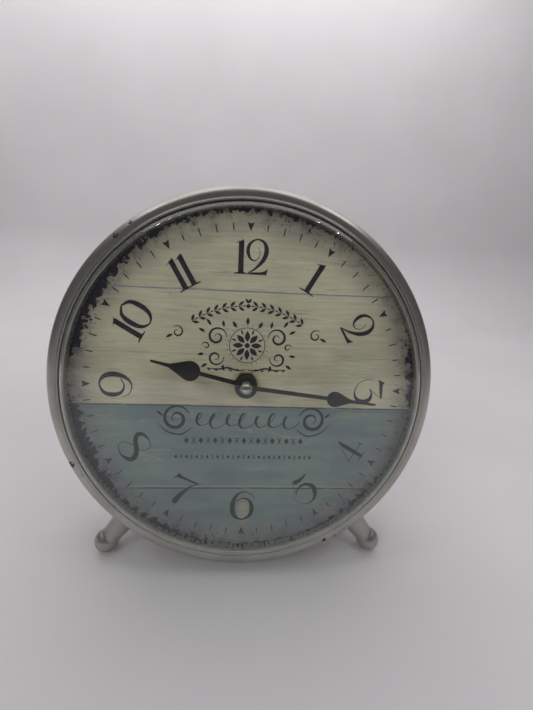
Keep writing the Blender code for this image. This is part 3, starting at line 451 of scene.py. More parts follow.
def dial_material():
    """Printed boards: cream above, blue-grey below, brushed along the grain, dirty and chipped at the rim,
    and darkened towards the rim by painted shade from the bezel.
    """
    look = Look("printed_boards", 0.7, Specular_IOR_Level=0.35)
    x, _, z = look.axes()
    z = look.math("ADD", z, -DIAL_CENTRE[1])
    height = look.math("ADD", z, look.math("MULTIPLY_ADD", look.noise(0.06, 2.0), 0.7, -0.35))
    grain = look.noise(0.5, 5.0, (0.10, 1.0, 1.6))
    brushed = look.noise(0.16, 4.0, (0.22, 1.0, 1.3), seed=11.0)
    cloud = look.noise(0.035, 3.0, seed=5.0)

    cream = look.mix(look.ramp(cloud, 0.35, 0.65), CREAM, CREAM_DARK)
    cream = look.mix(look.ramp(brushed, 0.52, 0.68, 0.0, 0.5), cream, (0.79, 0.735, 0.56))
    blue = look.mix(look.ramp(cloud, 0.38, 0.62), BLUE, BLUE_DARK)
    blue = look.mix(look.ramp(brushed, 0.40, 0.62, 0.0, 0.5), blue, (0.285, 0.35, 0.33))
    rubbed = look.times(look.ramp(look.noise(0.11, 5.0, (0.3, 1.0, 1.5), seed=31.0), 0.56, 0.66),
                       look.ramp(look.noise(0.9, 3.0, (0.3, 1.0, 1.0), seed=2.0), 0.42, 0.6))
    blue = look.mix(look.times(rubbed, 0.45), blue, (0.46, 0.43, 0.31))
    six = look.node("VectorMath", {0: look.place, 1: (0.5, 0.0, -60.5)}, operation="SUBTRACT").outputs[0]
    six = look.node("VectorMath", {0: six, 1: (1.0, 1.0, 0.55)}, operation="MULTIPLY").outputs[0]
    six = look.node("VectorMath", {0: six}, operation="LENGTH").outputs["Value"]
    blue = look.mix(look.times(look.ramp(six, 1.2, 4.2, 0.8, 0.0), look.ramp(grain, 0.3, 0.6)),
                    blue, (0.56, 0.50, 0.35))
    colour = look.mix(look.ramp(height, MIDDLE_JOINT - 0.4, MIDDLE_JOINT + 0.4), blue, cream)
    colour = look.mix(look.ramp(grain, 0.35, 0.75, 0.0, 0.26), colour, (0.22, 0.20, 0.18))
    scratches = look.ramp(look.noise(1.5, 3.0, (0.05, 1.0, 1.0), seed=51.0), 0.60, 0.68, 0.0, 0.5)
    scratches = look.times(scratches, look.ramp(brushed, 0.35, 0.6))
    colour = look.mix(scratches, colour, (0.30, 0.27, 0.24))
    dots = look.ramp(look.noise(1.1, 2.0, seed=63.0), 0.70, 0.74, 0.0, 0.55)
    colour = look.mix(dots, colour, (0.14, 0.12, 0.13))

    lines = ((TOP_JOINT, 0.42, (0.19, 0.25, 0.33), 0.85), (TOP_JOINT - 1.0, 0.5, (0.66, 0.62, 0.52), 0.4),
             (MIDDLE_JOINT, 0.55, (0.075, 0.065, 0.10), 0.9),
             (MIDDLE_JOINT - 1.3, 0.45, (0.14, 0.15, 0.19), 0.45),
             (LOW_JOINT, 0.42, (0.05, 0.05, 0.05), 0.9), (LOW_JOINT + 0.85, 0.5, (0.44, 0.41, 0.31), 0.55),
             (HAIRLINE, 0.28, (0.30, 0.27, 0.25), 0.35))
    broken = look.noise(0.12, 3.0, (1.0, 1.0, 0.1), seed=21.0)
    for at, half, tone, amount in lines:
        away = look.math("ABSOLUTE", look.math("SUBTRACT", height, at))
        inked = look.ramp(away, half * 0.35, half, amount, 0.0)
        mark = look.times(inked, look.ramp(broken, 0.3, 0.5, 0.45))
        colour = look.mix(mark, colour, tone)

    radius = look.math("SQRT", look.math("ADD", look.times(x, x), look.times(z, z)))
    turn = look.math("ARCTAN2", x, z)
    hours = look.math("WRAP", look.math("DIVIDE", turn, tau), 1.0, 0.0)
    wear = look.node("ValToRGB", {0: hours})
    elements = wear.color_ramp.elements
    for hour, weight in RIM_WEAR[1:-1]:
        elements.new(hour / 12).color = (weight,) * 3 + (1.0,)
    elements[0].color = (RIM_WEAR[0][1],) * 3 + (1.0,)
    elements[-1].color = (RIM_WEAR[-1][1],) * 3 + (1.0,)
    wear = wear.outputs[0]
    edge = look.math("SUBTRACT", SIGHT_RADIUS, radius)
    # Painted shade: the dial darkens over its outer 15 mm, where the bezel and the glass's flank shade it.
    # The cloud noise makes the darkening uneven.
    rim_shade = look.times(look.ramp(edge, 0.0, 15.0, 1.0, 0.0), look.ramp(cloud, 0.2, 0.75, 0.45, 1.0))
    colour = look.mix(look.times(rim_shade, 0.66), colour, (0.20, 0.165, 0.18))
    haze = look.ramp(look.noise(0.22, 4.0, seed=73.0), 0.45, 0.65)
    haze = look.times(haze, look.times(look.ramp(edge, 0.5, 8.5, 1.0, 0.0), wear))
    colour = look.mix(look.times(haze, 0.8), colour, (0.10, 0.08, 0.115))
    blotch = look.noise(0.30, 5.0, seed=17.0, rough=0.62)
    reach = look.math("MULTIPLY_ADD", wear, 6.6, -3.6)
    blotch = look.math("MULTIPLY_ADD", blotch, 13.0, -6.5)
    blotch = look.math("ADD", blotch, look.math("SUBTRACT", reach, edge))
    blotch = look.ramp(blotch, -0.15, 0.45)
    speck = look.noise(0.85, 3.0, seed=41.0, rough=0.5)
    speck_reach = look.ramp(edge, 0.5, 13.0, 0.17, 0.0)
    speck = look.math("SUBTRACT", look.math("MULTIPLY_ADD", wear, 0.06, speck), 0.80)
    speck = look.ramp(look.math("ADD", speck, speck_reach), 0.0, 0.03, 0.0, 0.75)
    colour = look.mix(speck, colour, (0.09, 0.075, 0.105))
    colour = look.mix(blotch, colour, (0.035, 0.03, 0.048))
    gloss = look.math("MULTIPLY_ADD", grain, 0.2, 0.52)
    look.set(colour, gloss, grain, 0.015)
    return look.material


def ink_material():
    """Charcoal print with a violet cast, thin in places."""
    look = Look("dial_ink", 0.6, Specular_IOR_Level=0.35)
    _, _, z = look.axes()
    body = look.mix(look.ramp(z, -14.0, -8.0), (0.032, 0.04, 0.038), (0.032, 0.026, 0.043))
    thin = look.ramp(look.noise(0.9, 5.0, (0.5, 1.0, 1.0)), 0.52, 0.75, 0.0, 0.35)
    colour = look.mix(thin, body, (0.16, 0.15, 0.15))
    look.set(colour, look.math("MULTIPLY_ADD", thin, 0.5, 0.5), thin, 0.01)
    return look.material


def battery_material():
    """A printed sleeve: a dark body, a coppery end and a thin pale stripe between them."""
    look = Look("battery_sleeve", 0.3, 0.4, Coat_Weight=0.4, Coat_Roughness=0.15)
    x, _, _ = look.axes()
    fine = look.noise(1.6, 3.0)
    scuff = look.ramp(look.noise(0.5, 5.0, (0.2, 1.0, 1.0), seed=3.0), 0.6, 0.72, 0.0, 0.35)
    colour = look.mix(look.ramp(x, 12.9, 13.1), (0.03, 0.032, 0.04), (0.48, 0.23, 0.10))
    stripe = look.times(look.ramp(x, 11.6, 11.8), look.ramp(x, 12.9, 13.1, 1.0, 0.0))
    colour = look.mix(stripe, colour, (0.62, 0.60, 0.55))
    metal_end = look.math("MAXIMUM", look.ramp(x, 24.0, 24.1), look.ramp(x, -24.7, -24.6, 1.0, 0.0))
    colour = look.mix(metal_end, colour, (0.55, 0.55, 0.54))
    colour = look.mix(scuff, colour, (0.30, 0.29, 0.28))
    look.set(colour, look.math("MULTIPLY_ADD", fine, 0.2, 0.22), fine, 0.004)
    return look.material


def coil_material():
    look = Look("enamelled_wire", 0.3, 1.0)
    x, _, _ = look.axes()
    turns = look.math("SINE", look.times(x, tau / 0.16))
    tone = look.mix(look.ramp(look.noise(0.6), 0.35, 0.7), (0.72, 0.30, 0.13), (0.52, 0.20, 0.08))
    # Painted shade: the grooves between the wire's turns are darkened towards (0.18, 0.06, 0.03).
    look.set(look.mix(look.ramp(turns, -1.0, -0.2, 0.6, 0.0), tone, (0.18, 0.06, 0.03)), None, turns, 0.03)
    return look.material


def floor_material():
    look = Look("studio_floor", 0.75)
    mottle = look.noise(0.004, 4.0)
    fine = look.noise(0.6, 3.0)
    look.set(look.mix(look.ramp(mottle, 0.3, 0.7), (0.66, 0.65, 0.66), (0.62, 0.61, 0.62)),
             look.math("MULTIPLY_ADD", fine, 0.15, 0.65), fine, 0.05)
    return look.material


# Chips in the bezel's paint, as (hour, radius, size)
BEZEL_CHIPS = ((10.62, 81.0, 2.3), (10.8, 81.8, 1.6), (5.05, 80.6, 2.0), (5.12, 76.9, 1.7), (4.93, 82.0, 1.2),
               (8.15, 81.5, 2.4), (8.0, 79.6, 1.2))


def bezel_spots():
    spots = []
    for hour, radius, size in BEZEL_CHIPS:
        x, z = on_circle(radius, 90.0 - 30.0 * hour, DIAL_CENTRE)
        spots.append(((x, -2.8, z), size))
    return spots


SILVER = (0.50, 0.485, 0.455)


def make_materials():
    return {
        "bezel": aged("satin_silver_bezel", SILVER, 0.31, 0.94, tint=(0.44, 0.425, 0.385), patch=0.05,
                      grain=1.8, depth=0.012, worn=(0.05, 0.047, 0.045), spots=bezel_spots()),
        "silver": aged("satin_silver_paint", SILVER, 0.4, 0.88, shade=0.84, patch=0.04, grain=1.6,
                       depth=0.014),
        "gasket": aged("grey_gasket", (0.42, 0.42, 0.39), 0.4, shade=0.8, patch=0.1, grain=2.0),
        "hardboard": aged("brown_hardboard", (0.24, 0.15, 0.085), 0.85, shade=0.7, patch=0.25, grain=3.0,
                          depth=0.05, stretch=(1.0, 1.0, 0.35)),
        "rubber": aged("black_rubber_grip", (0.022, 0.022, 0.023), 0.75, tint=(0.045, 0.044, 0.042),
                       patch=0.15, grain=3.0, depth=0.03, worn=(0.07, 0.068, 0.065)),
        "hand": aged("black_lacquer", (0.012, 0.012, 0.013), 0.36, tint=(0.02, 0.019, 0.019), patch=0.2,
                     grain=2.2, depth=0.006, worn=(0.10, 0.085, 0.06)),
        "steel": aged("polished_nickel", (0.66, 0.65, 0.62), 0.14, 1.0, shade=0.85, patch=0.5, grain=4.0,
                      depth=0.002, stretch=(1.0, 0.3, 1.0)),
        "zinc": aged("zinc_plate", (0.58, 0.585, 0.57), 0.34, 1.0, tint=(0.60, 0.56, 0.44), patch=0.3,
                     grain=3.0, depth=0.008, worn=(0.25, 0.20, 0.14)),
        "brass": aged("tarnished_brass", (0.66, 0.45, 0.19), 0.32, 1.0, tint=(0.42, 0.26, 0.10), patch=0.35,
                      depth=0.008, worn=(0.80, 0.60, 0.30)),
        "black_plastic": aged("moulded_black", (0.018, 0.018, 0.02), 0.5, tint=(0.03, 0.03, 0.031), patch=0.1,
                              grain=4.5, depth=0.02, worn=(0.06, 0.06, 0.06)),
        "white_plastic": aged("moulded_white", (0.78, 0.77, 0.72), 0.42, tint=(0.74, 0.70, 0.60), patch=0.12,
                              grain=3.5, worn=(0.50, 0.47, 0.42), Subsurface_Weight=0.05),
        "circuit": aged("circuit_board_green", (0.02, 0.14, 0.06), 0.38, tint=(0.05, 0.22, 0.08), patch=0.4,
                        grain=3.0, depth=0.02, stretch=(1.0, 1.0, 0.25)),
        "glass": glass_material(), "dial": dial_material(), "ink": ink_material(),
        "battery": battery_material(), "coil": coil_material(), "floor": floor_material(),
    }


# ---- Case ------------------------------------------------------------------------------------------

def make_bezel(looks):
    """A spun ring: ledge for the glass, a fine crest, a shallow valley and the rolled outer edge."""
    skirt, under = CASE_RADIUS + 0.35, 1.4 - SEAT_HEIGHT
    outline = rounded([(SIGHT_RADIUS, -0.3, 0.3), (SIGHT_RADIUS + 0.7, -SEAT_HEIGHT, 0.4),
                       (SEAT_RADIUS, -SEAT_HEIGHT, 0.2)], closed=False)
    outline += arc((CREST_RADIUS, CREST_BEAD - CREST_HEIGHT), CREST_BEAD, CREST_BEAD, 180, 25, 14)
    outline += arc((ROLL_RADIUS, ROLL_DEPTH), ROLL_HALF_R, ROLL_HALF_Y, 100, -76, 40)
    outline += rounded([(skirt, ROLL_DEPTH + 4.2, 0.2), (skirt, -0.9, 0.4), (skirt - 0.8, under, 0.4),
                        (SIGHT_RADIUS + 1.6, under, 0.3), (SIGHT_RADIUS + 1.0, -0.3, 0.2)])
    ring = shape("bezel", lathe(outline, DIAL_CENTRE, SEGMENTS), looks["bezel"])
    add(ring, "case", "satin_silver", "bezel_ring")


def make_drum(looks):
    """The drum, with a shallow bead pressed in near each end, and the flat rings fixed inside its ends."""
    r, inner = CASE_RADIUS, CASE_RADIUS - CASE_WALL
    outline = [(r, CASE_FRONT, 0.3)]
    for depth in (CASE_FRONT + 4.4, CASE_BACK - 3.4):
        outline += [(r, depth - 0.9, 0.5), (r - 0.35, depth, 0.7), (r, depth + 0.9, 0.5)]
    outline += [(r, CASE_BACK, 0.4), (inner, CASE_BACK, 0.2), (inner, CASE_FRONT, 0.2)]
    drum = shape("drum", lathe(rounded(outline), DIAL_CENTRE, SEGMENTS), looks["silver"])
    add(drum, "case", "satin_silver", "case_drum")
    for name, radius, front in (("front_ring", FRONT_RING_RADIUS, CASE_FRONT),
                                ("rear_ring", REAR_RING_RADIUS, CASE_BACK - CASE_WALL)):
        back, rim = front + CASE_WALL, inner - 0.3
        outline = rounded([(radius, front, 0.3), (rim, front, 0.2), (rim, back, 0.2), (radius, back, 0.3)])
        ring = shape(f"{name}_pressed", lathe(outline, DIAL_CENTRE, SEGMENTS), looks["silver"])
        add(ring, "case", "satin_silver", name)


def dome(edge_radius, edge_height, top_height, steps=28):
    """Points from the top of a dome out to its edge, along one sphere."""
    rise = top_height - edge_height
    sphere = (edge_radius ** 2 + rise ** 2) / (2 * rise)
    radii = [edge_radius * step / steps for step in range(steps + 1)]
    return [(radius, sphere - top_height - sqrt(sphere ** 2 - radius ** 2)) for radius in radii]


def make_glass(looks):
    outer = dome(SHOULDER_RADIUS, SHOULDER_HEIGHT, GLASS_HEIGHT)
    outer += arc((SHOULDER_RADIUS, -GLASS_FOOT), GLASS_EDGE - SHOULDER_RADIUS, SHOULDER_HEIGHT - GLASS_FOOT,
                 74, 0, 10)
    inner_edge = GLASS_EDGE - 0.9 * GLASS_THICKNESS
    inner = dome(SHOULDER_RADIUS - 1.2, SHOULDER_HEIGHT - GLASS_THICKNESS, GLASS_HEIGHT - GLASS_THICKNESS)
    inner += [(inner_edge - 1.0, -GLASS_FOOT - 2.6), (inner_edge, -GLASS_FOOT)]
    lens = shape("glass_dome", lathe(outer + inner[::-1], DIAL_CENTRE, SEGMENTS), looks["glass"])
    add(lens, "case", "glass", "lens")
    ring = rounded([(inner_edge, -GASKET_BACK, 0.15), (GLASS_EDGE, -GASKET_BACK, 0.15),
                    (GLASS_EDGE, -GASKET_FRONT, 0.15), (inner_edge, -GASKET_FRONT, 0.15)])
    gasket = shape("glass_gasket", lathe(ring, DIAL_CENTRE, SEGMENTS), looks["gasket"])
    add(gasket, "case", "clear_gasket", "lens_gasket")


def make_back(looks):
    """A pressed cover: a raised middle, two rings pressed into it, and a window cut through it."""
    raised, out = COVER_FRONT + COVER_STEP, COVER_THICKNESS
    slope = COVER_STEP_RADIUS - 2.0
    profile = [(0.0, raised), (50.0, raised), (50.8, raised - 0.6), (52.2, raised - 0.6), (53.0, raised),
               (slope, raised), (COVER_STEP_RADIUS, COVER_FRONT), (COVER_RADIUS, COVER_FRONT)]
    sizes = [0.0, 0.5, 0.4, 0.4, 0.5, 0.9, 0.9, 0.3]
    front = [(r, y, size) for (r, y), size in zip(profile, sizes)]
    back = [(r, y + out, size) for (r, y), size in zip(profile, sizes)]
    made = lathe(rounded(front + back[::-1], closed=False), DIAL_CENTRE, SEGMENTS)
    cover = shape("back_panel", made, looks["silver"])
    half_w, half_h = WINDOW_WIDTH / 2, WINDOW_HEIGHT / 2
    cut(cover, plate(rectangle(-half_w, half_w, -half_h, half_h, 4.0), raised - 4.0, raised + 4.0))
    for x, z in screw_places():
        cut(cover, cylinder(1.8, COVER_FRONT - 1.0, COVER_FRONT + 2.0, (x, z), 24))
    soften(cover, 0.15)
    add(cover, "case", "satin_silver", "back_cover")
    for number, place in enumerate(screw_places(), 1):
        make_screw(number, place, looks)


def screw_places():
    return [on_circle(SCREW_CIRCLE, 45.0 + 90.0 * turn, DIAL_CENTRE) for turn in range(4)]


def make_screw(number, place, looks):
    """A pan head screw with a cross slot, each turned differently."""
    seat = COVER_FRONT + COVER_THICKNESS + 0.3
    top = seat + SCREW_HEAD_HEIGHT
    head = SCREW_HEAD_RADIUS
    outline = rounded([(0.0, seat - 5.0, 0.0), (1.2, seat - 5.0, 0.2), (1.5, seat - 4.4, 0.2),
                       (1.5, seat, 0.1), (head, seat, 0.25), (head, seat + 0.7, 0.8),
                       (head * 0.72, top - 0.15, 0.6), (0.0, top, 0.0)], closed=False)
    screw = shape(f"cover_screw_head_{number}", lathe(outline, place, 32), looks["zinc"])
    for quarter in (0, 90):
        slot = plate([(-1.5, -0.32), (1.5, -0.32), (1.5, 0.32), (-1.5, 0.32)], top - 1.0, top + 0.5)
        slot.transform(Matrix.Translation((place[0], 0.0, place[1]))
                       @ Matrix.Rotation(radians(quarter + 37.0 * number), 4, "Y"))
        cut(screw, slot)
    soften(screw, 0.06)
    add(screw, "case", "zinc_steel", f"cover_screw_{number}")


def stand(item):
    """Flattens a foot where it meets the ground."""
    for vert in item.data.vertices:
        vert.co.z = max(vert.co.z, 0.0)
    item.data.update()


def make_feet(looks):
    base = CASE_RADIUS + 0.3
    neck = FOOT_REACH - sqrt(BALL_RADIUS ** 2 - FOOT_NECK_RADIUS ** 2)
    ball_start = degrees(acos(FOOT_NECK_RADIUS / BALL_RADIUS))
    outline = [(0.0, base - 8.0), (2.0, base - 8.0), (2.0, base), (FOOT_BASE_RADIUS - 0.2, base),
               (FOOT_BASE_RADIUS, base + 0.2), (FOOT_BASE_RADIUS, base + 0.8)]
    for step in range(13):
        share = step / 13
        outline.append((FOOT_NECK_RADIUS + (FOOT_BASE_RADIUS - FOOT_NECK_RADIUS) * (1 - share) ** 1.6,
                        base + 1.0 + (neck - base - 1.0) * share))
    outline += arc((0.0, FOOT_REACH), BALL_RADIUS, BALL_RADIUS, ball_start, -89, 32)
    outline.append((0.0, FOOT_REACH + BALL_RADIUS))
    for side, angle in (("left", FOOT_ANGLE), ("right", -FOOT_ANGLE)):
        foot = shape(f"{side}_ball_foot", aimed(lathe(outline), angle, FOOT_DEPTH), looks["silver"])
        stand(foot)
        add(foot, "case", "satin_silver", f"foot_{side}")
    grip = CASE_RADIUS - CASE_WALL - 0.4
    end = base + BUMPER_LENGTH
    outline = rounded([(0.0, grip - 2.4, 0.0), (1.4, grip - 2.4, 0.4), (3.2, grip - 0.6, 0.3),
                       (3.2, grip, 0.1), (2.0, grip, 0.1), (2.0, base, 0.1), (BUMPER_RADIUS, base, 0.8),
                       (BUMPER_RADIUS * 0.93, base + 6.0, 1.0), (BUMPER_RADIUS * 0.86, end, 0.5),
                       (0.0, end, 0.0)], closed=False)
    bumper = shape("rubber_bumper", aimed(lathe(outline), 0.0, BUMPER_DEPTH), looks["rubber"])
    stand(bumper)
    add(bumper, "case", "black_rubber", "rear_bumper")


# ---- Dial ------------------------------------------------------------------------------------------

# Each figure's strokes as (x, z, half width) points, and its filled shapes, drawn 14 mm high
FIGURES = {
    "1": ([[(0.0, 0.3, 1.15), (0.0, 7.0, 1.08), (0.1, 13.3, 1.12)],
           [(-3.5, 0.25, 0.2), (0.0, 0.45, 0.4), (3.5, 0.25, 0.2)]],
          [[(-3.5, 12.2), (-1.2, 12.6), (-1.0, 11.0), (1.2, 11.2), (1.2, 14.1), (-0.6, 13.2)]]),
    "2": ([[(0.0, 11.1, 0.08), (1.05, 9.3, 0.12), (0.6, 7.0, 0.16), (-1.1, 5.7, 0.22), (-3.0, 6.5, 0.45),
            (-4.0, 9.4, 0.75), (-3.2, 12.4, 0.6), (-0.3, 14.2, 0.3), (2.6, 13.1, 0.6), (3.7, 10.0, 0.95),
            (2.6, 6.2, 0.85), (-0.6, 2.6, 0.45), (-3.8, 0.4, 0.2)]],
          [[(-4.2, 0.0), (-2.2, 0.9), (1.4, 1.0), (3.0, 1.4), (4.5, 2.6), (3.9, -0.1)]]),
    "3": ([[(3.8, 12.5, 0.12), (1.6, 9.8, 0.12), (-0.6, 7.0, 0.12)],
           [(-0.8, 6.9, 0.15), (1.6, 8.0, 0.4), (4.3, 7.0, 0.85), (5.3, 4.0, 1.05), (4.0, 1.3, 0.7),
            (1.0, 0.2, 0.3), (-3.1, 1.9, 0.15), (-4.9, 5.6, 0.12), (-4.4, 8.4, 0.1)]],
          [[(-5.0, 10.5), (-3.7, 13.7), (-2.6, 12.9), (4.1, 12.9), (2.8, 11.9), (-3.8, 11.1)]]),
    "4": ([[(0.2, 0.2, 0.8), (0.2, 9.0, 0.85), (0.6, 13.2, 0.15)],
           [(0.4, 12.9, 0.1), (-2.3, 8.4, 0.12), (-5.0, 4.1, 0.12)],
           [(-5.0, 4.0, 0.15), (0.0, 3.95, 0.13), (4.9, 4.0, 0.13)],
           [(4.6, 5.4, 0.08), (4.9, 4.0, 0.25), (5.2, 2.8, 0.08)],
           [(-2.5, 0.15, 0.14), (0.2, 0.2, 0.2), (2.8, 0.15, 0.14)]], []),
    "5": ([[(-2.3, 13.0, 0.12), (-3.0, 9.8, 0.12), (-3.6, 6.8, 0.12)],
           [(-3.6, 6.7, 0.15), (-1.4, 8.9, 0.35), (1.7, 9.4, 0.6), (4.5, 7.5, 0.95), (5.0, 4.6, 1.05),
            (3.2, 1.3, 0.65), (0.1, 0.25, 0.25), (-3.3, 1.8, 0.12), (-5.2, 4.6, 0.1), (-5.4, 6.2, 0.08)]],
          [[(-2.4, 13.2), (-2.0, 11.2), (1.0, 11.3), (3.8, 12.6), (5.2, 13.8), (1.4, 13.1)]]),
    "6": ([[(5.4, 9.6, 0.1), (4.5, 12.1, 0.15), (2.0, 13.6, 0.2), (-0.8, 13.4, 0.35), (-3.4, 10.6, 0.8),
            (-4.4, 6.1, 1.1), (-3.4, 2.2, 0.9), (-0.2, 0.35, 0.35), (3.4, 2.1, 0.7), (4.5, 5.6, 0.95),
            (3.5, 9.2, 0.65), (0.6, 10.6, 0.3), (-2.6, 9.2, 0.2)]], []),
    "7": ([[(5.3, 13.2, 0.15), (3.1, 11.0, 0.3), (1.6, 7.3, 0.75), (0.5, 3.6, 1.1), (0.3, 1.2, 1.2),
            (0.3, 0.3, 0.8)]],
          [[(-5.7, 10.1), (-4.7, 13.9), (-2.8, 13.2), (5.9, 13.8), (5.0, 12.9), (-1.9, 12.1), (-4.7, 11.5)]]),
    "8": ([[(0.2, 14.2, 0.3), (-3.0, 13.2, 0.7), (-4.0, 11.0, 0.95), (-2.0, 8.9, 0.95), (1.8, 7.2, 1.0),
            (4.1, 5.0, 1.1), (4.1, 2.4, 0.95), (0.6, 0.35, 0.4)],
           [(0.2, 14.2, 0.2), (3.0, 13.4, 0.15), (3.9, 11.0, 0.14), (2.6, 8.6, 0.14), (-1.4, 6.8, 0.14),
            (-4.2, 4.2, 0.14), (-3.4, 1.2, 0.16), (0.6, 0.3, 0.3)]], []),
    "0": ([[(0.0, 13.7, 0.3), (-3.2, 11.6, 0.75), (-4.1, 7.0, 1.05), (-3.2, 2.4, 0.75), (0.0, 0.3, 0.3),
            (3.2, 2.4, 0.75), (4.1, 7.0, 1.05), (3.2, 11.6, 0.75), (0.0, 13.7, 0.3)]], []),
}
FIGURE_MIDDLE = 7.0
FIGURE_CIRCLE = 55.4
TICK_INNER, TICK_OUTER = 66.0, 69.0
UPRIGHT_HOURS = (4, 5, 6, 7, 8)
# Where the two figures of 10, 11 and 12 stand
PAIR_PLACES = {10: (-4.4, 2.6), 11: (-2.0, 2.0), 12: (-3.7, 3.1)}


def draw_figure(ink, figure, across, place):
    """Draws one figure; nine is a six turned upside down."""
    x, z, degrees = place
    flipped = figure == "9"
    strokes, areas = FIGURES["6" if flipped else figure]
    narrow = 0.82 if figure == "1" and across else 1.0

    def put(px, pz):
        px, pz = px * narrow, pz - FIGURE_MIDDLE
        return (across - px, -pz) if flipped else (across + px, pz)

    ink.at(x, z, degrees)
    for stroke in strokes:
        ink.stroke([(*put(px, pz), half) for px, pz, half in stroke])
    for outline in areas:
        ink.area([put(px, pz) for px, pz in outline])


def make_figures(looks):
    ink = Ink()
    for hour in range(1, 13):
        x, z = on_circle(FIGURE_CIRCLE, 90.0 - 30.0 * hour)
        degrees = 30.0 * hour + (180.0 if hour in UPRIGHT_HOURS else 0.0)
        for figure, across in zip(str(hour), PAIR_PLACES.get(hour, (0.0,))):
            draw_figure(ink, figure, across, (x, z, degrees))
    add(shape("dial_figures", ink.mesh, looks["ink"]), "case", "dial_paper")


def make_marks(looks):
    """Sixty ticks, and a triangle that points inwards at each hour."""
    wobble = random.Random(12)
    ink = Ink()
    for minute in range(60):
        ink.at(0.0, 0.0, 6.0 * minute)
        inner, outer = (radius + wobble.uniform(-0.3, 0.3) for radius in (TICK_INNER, TICK_OUTER))
        if minute % 5:
            ink.stroke([(0.0, inner, 0.17), (0.0, (inner + outer) / 2, 0.25), (0.0, outer, 0.21)], 2)
        else:
            tip, base = TICK_INNER - 0.3, TICK_OUTER + 0.3
            ink.area([(0.0, tip), (1.5, base), (0.0, base - 0.5), (-1.5, base)])
    add(shape("dial_marks", ink.mesh, looks["ink"]), "case", "dial_paper")


def make_garland(ink):
    """An arc of leaf pairs and berries, with a small scroll at each end."""
    radius, middle, span, count = 42.3, -7.1, 33.0, 15
    for n in range(count):
        degrees = -span + 2 * span * n / (count - 1)
        x, z = on_circle(radius, 90.0 - degrees, (0.0, middle))
        lean = 90.0 if degrees < 0 else -90.0
        if n == count // 2:
            ink.at(x, z, degrees).dot(0.0, 0.0, 0.9)
            for side in (-1, 1):
                ink.leaf(0.0, 1.2, 32.0 * side, 2.4, 0.55)
            continue
        ink.at(x, z, degrees + lean)
        for side in (-1, 1):
            ink.leaf(0.25 * side, -0.6, 38.0 * side, 3.0, 0.62)
        ink.dot(0.0, 1.7, 0.36)
    points = []
    for step in range(25):
        degrees = -span - 1.0 + (2 * span + 2.0) * step / 24
        x, z = on_circle(radius, 90.0 - degrees, (0.0, middle))
        points.append((x, z, 0.12))
    ink.at(0.0, 0.0).stroke(points, 2)
    for side in (-1, 1):
        ink.at(0.0, 0.0)
        ink.spiral(side * 29.6, 23.4, 2.7, 0.6, 90.0 - 40.0 * side, 1.2, 0.3, side)
        ink.leaf(side * 31.5, 22.4, 118.0 * side, 3.4, 0.6)


# The rosette's outer leaves as (x, z, lean, length), and the line under it as (x, z, half width)
LEAVES = ((15.5, 8.2, 35.0, 3.4), (18.0, 5.4, 62.0, 3.2), (18.4, -4.0, 100.0, 2.8), (17.0, -8.2, 125.0, 3.2),
          (10.2, -8.6, 180.0, 2.4), (10.0, 7.6, 12.0, 3.0))
GROUND_LINE = ((0.5, -10.6, 0.15), (4.0, -11.0, 0.3), (8.0, -9.9, 0.38), (12.0, -10.6, 0.3),
               (17.0, -10.2, 0.12))


def make_rosette(ink):
    """A plain rosette between two sprays of scrolls."""
    middle = 18.4
    ink.at(0.0, middle)
    for petal in range(8):
        ink.leaf(*on_circle(1.7, 90.0 - 45.0 * petal), 45.0 * petal, 4.6, 1.15)
        ink.leaf(*on_circle(5.0, 67.5 - 45.0 * petal), 45.0 * petal + 22.5, 2.3, 0.4)
    ink.dot(0.0, 0.0, 1.1)
    ring = [(*on_circle(7.6, 360.0 * n / 24), 0.16) for n in range(25)]
    ink.stroke(ring, 2)
    for n in range(24):
        ink.dot(*on_circle(8.6, 15.0 * n), 0.22)
    for lean in (-32.0, 0.0, 32.0):
        ink.leaf(8.9 * sin(radians(lean)), 8.9 * cos(radians(lean)), lean, 3.2, 0.75)
    for side in (-1, 1):
        ink.spiral(side * 13.0, 3.4, 4.3, 0.7, 90.0 + 90.0 * side, 1.45, 0.42, -side)
        ink.spiral(side * 13.4, -5.6, 3.6, 0.6, 90.0 + 80.0 * side, 1.35, 0.36, side)
        ink.spiral(side * 17.6, -0.6, 1.7, 0.4, 90.0 - 90.0 * side, 1.1, 0.25, side)
        for x, z, lean, length in LEAVES:
            ink.leaf(side * x, z, side * lean, length, 0.62)
        ink.stroke([(side * x, z, half) for x, z, half in GROUND_LINE], 4)
        for n in range(5):
            ink.leaf(side * (3.0 + 3.1 * n), -11.2, side * (60.0 + 14.0 * (n % 2)), 1.9, 0.36)


def make_flourish(ink):
    """One slanted pen line of loops between two large scrolls, heavier on its way down."""
    ink.at(0.0, -15.2)
    length, loops, height, slant = 45.0, 7, 3.7, 0.45
    points = []
    steps = loops * 16
    for n in range(steps + 1):
        t = n / steps
        turn = tau * loops * t
        swell = 0.62 + 0.38 * cos(tau * 2.0 * t) ** 2
        z = height * swell * sin(turn)
        x = -length / 2 + length * t + 2.3 * swell * cos(turn) + slant * z
        falling = max(0.0, -cos(turn))
        points.append((x, z, 0.16 + 0.42 * falling))
    ink.stroke(points, 2)
    for side in (-1, 1):
        ink.spiral(side * 30.0, 0.6, 6.2, 1.2, 90.0 + 70.0 * side, 1.6, 0.62, -side)
        ink.stroke([(side * 23.0, -3.4, 0.12), (side * 28.0, -6.6, 0.35), (side * 34.0, -5.2, 0.3),
                    (side * 38.0, -1.2, 0.1)], 5)
        ink.leaf(side * 35.6, 1.8, 52.0 * side, 3.6, 0.6)


